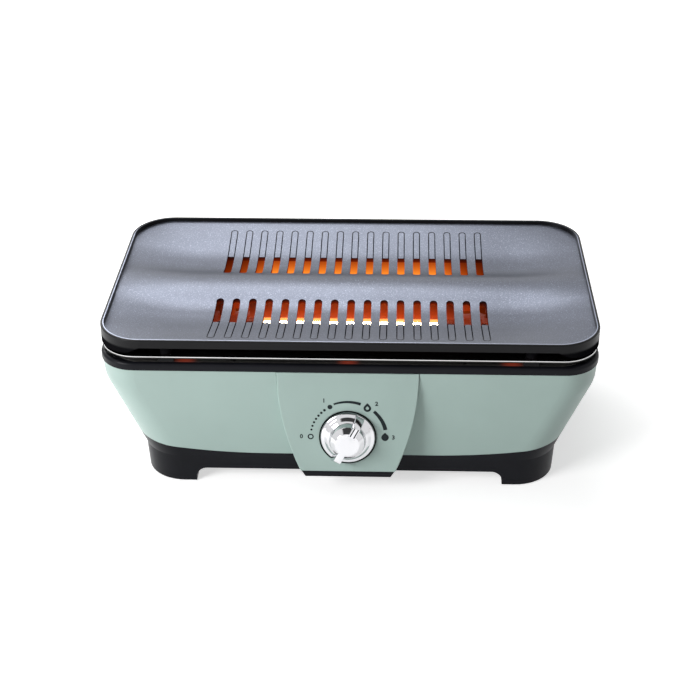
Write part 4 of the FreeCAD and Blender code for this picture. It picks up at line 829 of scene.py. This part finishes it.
def dot_row_tree():
    """Dots that grow along an arc."""
    tree, given, result = group_of(
        "Dot Row", "GeometryNodeTree",
        [("Count", 7), ("Radius", 0.04), ("Start", 0.0), ("End", 1.0), ("Smallest", 0.0005),
         ("Largest", 0.001), ("Height", 0.0001), ("Ink", "Material")], [("Geometry", "Geometry")])
    start, smallest, radius = given["Start"], given["Smallest"], given["Radius"]
    index = Term(tree, add(tree, "GeometryNodeInputIndex").outputs[0])
    share = index / (given["Count"] - 1.0)
    angle = share * (given["End"] - start) + start
    size = share * (given["Largest"] - smallest) + smallest
    place = upright(tree, angle.cosine() * radius, angle.sine() * radius, given["Height"] * 0.5)
    points = add(tree, "GeometryNodePoints", None, {"Count": given["Count"], "Position": place})
    dot = add(tree, "GeometryNodeMeshCylinder", None,
              {"Vertices": 28, "Radius": 1.0, "Depth": given["Height"]})
    stamp(tree, result, points, dot, given["Ink"], Scale=upright(tree, size, size, 1.0))
    return tree


def number_mesh(text, place, height, depth):
    """A plain number as a mesh, centred on a place."""
    curve = bpy.data.curves.new("number", "FONT")
    curve.body = text
    curve.size = height
    curve.extrude = depth / 2
    curve.align_x = curve.align_y = "CENTER"
    curve.offset = 0.03 * height
    mesh = bake(linked("number", curve), "number")
    mesh.transform(Matrix.Translation((place[0], place[1], depth / 2)))
    return mesh


class GRILL_OT_dial(bpy.types.Operator):
    """Print the dial round the knob: off ring, dots, bars, drops and plain numbers"""

    bl_idname = "grill.dial"
    bl_label = "Dial Marks"

    def execute(self, context):
        s = sizes()
        height = s.mark_height
        radius = s.dial_radius
        ink = ink_finish()
        start, end = math.radians(168.0), math.radians(128.5)
        dots = bake(run_tree(dot_row_tree(), {
            "Count": s.dial_dots, "Radius": radius, "Start": start, "End": end,
            "Smallest": s.smallest_dot, "Largest": s.largest_dot, "Height": height, "Ink": ink}), "dots")

        def marks(work):
            work.from_mesh(dots)
            off, low, medium, high = (polar(radius, angle) for angle in (180, 118.4, 58.5, 0))
            slab(work, round_outline(off, 3.2 * MM), height, round_outline(off, 1.9 * MM))
            slab(work, round_outline(low, 2.6 * MM), height)
            slab(work, band_outline(radius + 1.2 * MM, 111.5, 70.5, 2.0 * MM, 3.2 * MM), height)
            slab(work, drop_outline(medium, 4.0 * MM, 5.8 * MM), height,
                 drop_outline(medium, 1.7 * MM, 2.3 * MM))
            slab(work, band_outline(radius + 1.4 * MM, 47.5, 12.5, 3.3 * MM, 4.3 * MM), height)
            slab(work, drop_outline(high, 3.9 * MM, 5.4 * MM), height)
            for text, angle, distance in (("0", 180.0, 49.0), ("1", 121.0, 48.5), ("2", 52.0, 49.0),
                                          ("3", 0.0, 48.0)):
                place = polar(distance * MM, angle)
                work.from_mesh(number_mesh(text, place, s.number_height, height))

        mesh = mesh_from("dial_marks", marks)
        mesh.transform(panel_matrix())
        new_piece("dial_marks", mesh, BODY, "dial_black", ink)
        return {"FINISHED"}


# Knob

def rounded_profile(points, radius, steps=4):
    """Pairs (distance from the axis, height) with each inner corner rounded off."""
    smooth = [points[0]]
    for before, corner, after in zip(points, points[1:], points[2:]):
        middle = Vector(corner)
        ways = [Vector(before) - middle, Vector(after) - middle]
        reach = min(radius, *(way.length * 0.45 for way in ways))
        first, last = (middle + way.normalized() * reach for way in ways)
        for i in range(steps + 1):
            t = i / steps
            smooth.append(tuple(first * (1 - t) ** 2 + middle * (2 * t * (1 - t)) + last * t ** 2))
    return smooth + [points[-1]]


def lathe(work, profile, steps=128):
    """A closed solid of revolution about Z through pairs that start and end on the axis."""
    rings = []
    for radius, height in profile:
        ring = [(0, 0)] if radius < 1e-7 else round_outline((0, 0), radius, steps)
        rings.append([work.verts.new((x, y, height)) for x, y in ring])
    for low, high in zip(rings, rings[1:]):
        for i in range(steps):
            j = (i + 1) % steps
            if len(low) == 1:
                work.faces.new((low[0], high[i], high[j]))
            elif len(high) == 1:
                work.faces.new((low[i], low[j], high[0]))
            else:
                work.faces.new((low[i], low[j], high[j], high[i]))


def grip_bar(work, side, foot, top, half_foot, half_top):
    """A bar along X from its side outline; its half width falls from the foot to the top."""
    walls = []
    for sign in (-1, 1):
        slope = sign * (half_top - half_foot) / (top - foot)
        walls.append([work.verts.new((x, sign * half_foot + slope * (z - foot), z)) for x, z in side])
    for wall in walls:
        work.faces.new(wall)
    for i in range(len(side)):
        j = (i + 1) % len(side)
        work.faces.new((walls[0][i], walls[0][j], walls[1][j], walls[1][i]))


def pointer_bars(work, depth, middle):
    """Two bars beside the pointer's middle line, at a height out of the panel."""
    for sign in (-1, 1):
        made = bmesh.ops.create_cube(work, size=1.0)["verts"]
        bmesh.ops.scale(work, vec=(11.0 * MM, 1.3 * MM, depth), verts=made)
        bmesh.ops.translate(work, vec=(16.0 * MM, sign * 2.1 * MM, middle), verts=made)


def in_metres(pairs):
    """Pairs given in millimetres."""
    return [(across * MM, out * MM) for across, out in pairs]


def carrier_of(name, build):
    """A short-lived object whose mesh a function fills in, for modifiers to work on."""
    return linked(name, mesh_from(name, build))


def soften(carrier, width, steps, angle):
    """Round a carrier's edges with a bevel."""
    bevel = carrier.modifiers.new("edges", "BEVEL")
    bevel.width = width
    bevel.segments = steps
    bevel.limit_method = "ANGLE"
    bevel.angle_limit = math.radians(angle)


class GRILL_OT_knob(bpy.types.Operator):
    """Plated cap of the knob with its rounded steps, grip bar and two black pointer lines"""

    bl_idname = "grill.knob"
    bl_label = "Knob"

    def execute(self, context):
        outer = [(0, 1.0), (28.5, 1.0), (28.5, 2.4), (27.6, 3.2), (24.6, 4.2), (21.6, 7.4), (19.4, 8.3),
                 (18.0, 14.8), (17.2, 15.6), (13.4, 19.8), (12.6, 20.5), (0, 20.5)]
        inner = [(0, 0.0), (24.2, 0.0), (20.0, 4.0), (16.4, 9.0), (15.2, 15.0), (14.2, 16.5), (0, 16.5)]
        side = in_metres([(-27.0, 2.5), (-28.6, 5.0), (-28.8, 9.6), (-23.4, 19.2), (-22.0, 20.3),
                          (7.6, 20.3), (9.0, 21.1), (21.6, 21.1), (22.9, 20.2), (28.8, 9.6),
                          (28.6, 5.0), (27.0, 2.5)])
        profile = rounded_profile(in_metres(outer), 0.6 * MM)
        cap = carrier_of("cap", lambda work: lathe(work, profile))
        bar = carrier_of("bar", lambda work: grip_bar(work, side, 2.5 * MM, 21.1 * MM, 5.2 * MM, 3.9 * MM))
        soften(bar, 0.6 * MM, 3, 20.0)
        hollow = carrier_of("hollow", lambda work: lathe(work, in_metres(inner)))
        grooves = carrier_of("grooves", lambda work: pointer_bars(work, 1.6 * MM, 21.2 * MM))
        for tool, operation in ((bar, "UNION"), (hollow, "DIFFERENCE"), (grooves, "DIFFERENCE")):
            join = cap.modifiers.new(tool.name, "BOOLEAN")
            join.operation = operation
            join.solver = "EXACT"
            join.object = tool
        whole = bake(cap, "knob")
        for tool in (bar, hollow, grooves):
            bpy.data.objects.remove(tool)
        place = panel_matrix() @ Matrix.Rotation(math.radians(POINTER_ANGLE), 4, "Z")
        whole.transform(place)
        whole.polygons.foreach_set("use_smooth", [True] * len(whole.polygons))
        whole.set_sharp_from_angle(angle=math.radians(28.0))
        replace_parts(new_piece("knob_dressed", whole, KNOB_BODY, "knob_chrome"), "knob")

        inlay = mesh_from("pointer_lines", lambda work: pointer_bars(work, 0.3 * MM, 20.55 * MM))
        inlay.transform(place)
        new_piece("pointer_lines", inlay, KNOB_BODY, "dial_black")
        return {"FINISHED"}


# Screws

def raised(tree, solid, rise):
    """A solid of a node tree, moved up."""
    return add(tree, "GeometryNodeTransform", None,
               {"Geometry": solid, "Translation": upright(tree, 0.0, 0.0, rise)})


def screw_tree():
    """Pan heads with a cross recess on every given point, all turned one way."""
    tree, given, result = group_of(
        "Screw Heads", "GeometryNodeTree",
        [("Geometry", "Geometry"), ("Radius", 0.003), ("Head", 0.002), ("Shank Radius", 0.0014),
         ("Shank", 0.008), ("Recess", 0.0008), ("Turn", "Rotation"), ("Metal", "Material")],
        [("Geometry", "Geometry")])
    radius, head, recess = given["Radius"], given["Head"], given["Recess"]
    half = head * 0.5
    lower = add(tree, "GeometryNodeMeshCylinder", None, {"Vertices": 40, "Radius": radius, "Depth": half})
    dome = add(tree, "GeometryNodeMeshCone", None,
               {"Vertices": 40, "Radius Top": radius * 0.62, "Radius Bottom": radius, "Depth": half})
    whole = add(tree, "GeometryNodeMeshBoolean", {"operation": "UNION"})
    for solid, rise in ((lower, head * 0.25), (dome, half)):
        feed(tree, whole, 1, raised(tree, solid, rise))
    cut = add(tree, "GeometryNodeMeshBoolean", {"operation": "DIFFERENCE"}, {0: whole})
    arm, tall = radius * 1.15, head * 1.1
    for first, second in ((arm, recess), (recess, arm)):
        cube = add(tree, "GeometryNodeMeshCube", None, {"Size": upright(tree, first, second, tall)})
        feed(tree, cut, 1, raised(tree, cube, head))
    shank = add(tree, "GeometryNodeMeshCylinder", None,
                {"Vertices": 24, "Radius": given["Shank Radius"], "Depth": given["Shank"]})
    both = add(tree, "GeometryNodeJoinGeometry")
    feed(tree, both, 0, cut)
    feed(tree, both, 0, raised(tree, shank, given["Shank"] * -0.5))
    stamp(tree, result, given["Geometry"], both, given["Metal"], Rotation=given["Turn"])
    return tree


class GRILL_OT_screws(bpy.types.Operator):
    """Give every row of screws its cross recesses"""

    bl_idname = "grill.screws"
    bl_label = "Screws"

    def execute(self, context):
        tree = screw_tree()
        rows = (("floor_screws", "-z", 3.4, 1.9, 1.4, 10.0), ("liner_screws", "+z", 3.0, 1.6, 1.4, 4.0),
                ("stand_screws", "+z", 2.8, 1.6, 1.4, 4.0), ("bracket_screws", "+z", 2.6, 1.5, 1.4, 5.0),
                ("inlet_screws", "+y", 2.7, 1.5, 1.5, 8.0))
        turns = {"-z": (math.pi, 0, 0), "+z": (0, 0, 0), "+y": (-math.pi / 2, 0, 0)}
        for node, way, radius, head, shank_radius, shank in rows:
            seats = []
            for low, high in islands(node):
                middle = (low + high) / 2
                if way == "-z":
                    seats.append((middle.x, middle.y, low.z + head * MM))
                elif way == "+z":
                    seats.append((middle.x, middle.y, high.z - head * MM))
                else:
                    seats.append((middle.x, high.y - head * MM, middle.z))
            carrier = run_tree(tree, {"Radius": radius * MM, "Head": head * MM,
                                      "Shank Radius": shank_radius * MM, "Shank": shank * MM,
                                      "Recess": sizes().screw_recess, "Turn": turns[way],
                                      "Metal": finish_of("screw_steel")}, seats)
            metal = dark_screw_steel() if node == "liner_screws" else None
            piece = new_piece(node + "_dressed", bake(carrier, node), BODY, "screw_steel", metal)
            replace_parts(piece, node)
        return {"FINISHED"}


# Finishes of the frame's own nodes

class GRILL_OT_finishes(bpy.types.Operator):
    """Give every node of the frame the finish of its slot"""

    bl_idname = "grill.finishes"
    bl_label = "Finishes"

    def execute(self, context):
        for part in frame["record"]["subparts"]:
            node = frame["nodes"][part["node"]]
            material = finish_of(part["material_slot"])
            if not node.material_slots:
                node.data.materials.append(material)
            for place in node.material_slots:
                place.material = material
        return {"FINISHED"}


# Studio

def area_light(name, place, aim, size, power):
    """A soft rectangular lamp that looks at a point."""
    data = bpy.data.lights.new(name, "AREA")
    data.shape = "RECTANGLE"
    data.size, data.size_y = size
    data.energy = power
    lamp = linked(name, data)
    lamp.location = place
    lamp.rotation_euler = (Vector(aim) - Vector(place)).to_track_quat("-Z", "Y").to_euler()


def background_share(tree):
    """1 for rays that see the background directly, in a mirror or through glass."""
    path = add(tree, "ShaderNodeLightPath")
    seen = Term(tree, path.outputs["Is Camera Ray"]).at_least(path.outputs["Is Glossy Ray"])
    return seen.at_least(path.outputs["Is Transmission Ray"])


def ceiling_share(tree):
    """Less than 1 for mirrored rays that meet the dark ceiling above and before the grill."""
    way = add(tree, "ShaderNodeTexCoord").outputs["Generated"]
    towards = add(tree, "ShaderNodeVectorMath", {"operation": "DOT_PRODUCT"},
                  {0: way, 1: Vector((0, -0.276, 0.961))})
    patch = ramp(tree, towards.outputs["Value"], 0.86, 0.93, 0.0, 0.94, smooth=True)
    return 1.0 - patch * add(tree, "ShaderNodeLightPath").outputs["Is Glossy Ray"]


def floor_finish():
    """Pale floor that looks white to the camera and keeps the shadow."""
    material, tree, shader = new_finish("Studio Floor", Roughness=0.9)
    drift(tree, shader, (0.86, 0.86, 0.86, 1), (0.84, 0.84, 0.84, 1), 2.0)
    lift = add(tree, "ShaderNodeEmission", None,
               {"Color": (1, 1, 1, 1), "Strength": background_share(tree) * 0.60})
    both = add(tree, "ShaderNodeAddShader", None, {0: shader, 1: lift})
    feed(tree, tree.nodes["Material Output"], "Surface", both)
    return material


LAMPS = (("front_key", (-1.50, -1.25, 1.05), (0, 0, 0.12), (0.9, 0.7), 33.0),
         ("left_window", (-1.00, 1.45, 0.95), (-0.22, -0.02, 0.17), (0.7, 0.5), 7.0),
         ("top_window", (-0.42, 0.83, 1.83), (0, 0.02, 0.17), (1.6, 1.4), 28.0))


class GRILL_OT_stage(bpy.types.Operator):
    """Floor, soft light and the camera at the grill's front"""

    bl_idname = "grill.stage"
    bl_label = "Studio"

    def execute(self, context):
        scene = context.scene
        mesh = mesh_from("studio_floor", lambda work: bmesh.ops.create_grid(
            work, x_segments=2, y_segments=2, size=20.0))
        floor = linked("studio_floor", mesh)
        mesh.materials.append(floor_finish())
        world = bpy.data.worlds.new("Studio Light")
        scene.world = world
        world.use_nodes = True
        tree = world.node_tree
        sky = tree.nodes["Background"]
        sky.inputs["Color"].default_value = (1, 1, 1, 1)
        strength = ramp(tree, background_share(tree), 0.0, 1.0, 0.14, 1.0)
        feed(tree, sky, "Strength", strength * ceiling_share(tree))
        for lamp in LAMPS:
            area_light(*lamp)
        camera_data = bpy.data.cameras.new("photo_camera")
        camera_data.lens = 74.571
        camera_data.sensor_width = 36.0
        camera = linked("photo_camera", camera_data)
        camera.location = (0.051415, -1.412349, 0.926406)
        camera.rotation_euler = Euler([math.radians(a) for a in (59.5494, 0.3560, 1.9743)])
        scene.camera = camera
        scene.view_settings.view_transform = "Standard"
        return {"FINISHED"}


class GRILL_PT_panel(bpy.types.Panel):
    """The grill's sizes, colours and steps"""

    bl_idname = "GRILL_PT_panel"
    bl_label = "Grill"
    bl_space_type = "VIEW_3D"
    bl_region_type = "UI"
    bl_category = "Grill"

    def draw(self, context):
        layout = self.layout
        for group in (context.scene.grill_sizes, context.scene.grill_colours):
            for key in group.bl_rna.properties.keys():
                if key not in ("rna_type", "name"):
                    layout.prop(group, key)
        for step in STEPS:
            layout.operator(step.bl_idname)


STEPS = (GRILL_OT_finishes, GRILL_OT_screws, GRILL_OT_dial, GRILL_OT_knob, GRILL_OT_stage)
CLASSES = (GrillSizes, GrillColours, *STEPS, GRILL_PT_panel)


def register():
    """Register the classes and hang the settings on the scene."""
    for each in CLASSES:
        bpy.utils.register_class(each)
    bpy.types.Scene.grill_sizes = bpy.props.PointerProperty(type=GrillSizes)
    bpy.types.Scene.grill_colours = bpy.props.PointerProperty(type=GrillColours)


def unregister():
    """Take the settings and the classes away."""
    del bpy.types.Scene.grill_colours
    del bpy.types.Scene.grill_sizes
    for each in reversed(CLASSES):
        bpy.utils.unregister_class(each)


def main():
    """Dress the frame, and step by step."""
    register()
    for step in STEPS:
        space, name = step.bl_idname.split(".")
        getattr(getattr(bpy.ops, space), name)()


if __name__ == "__main__":
    main()
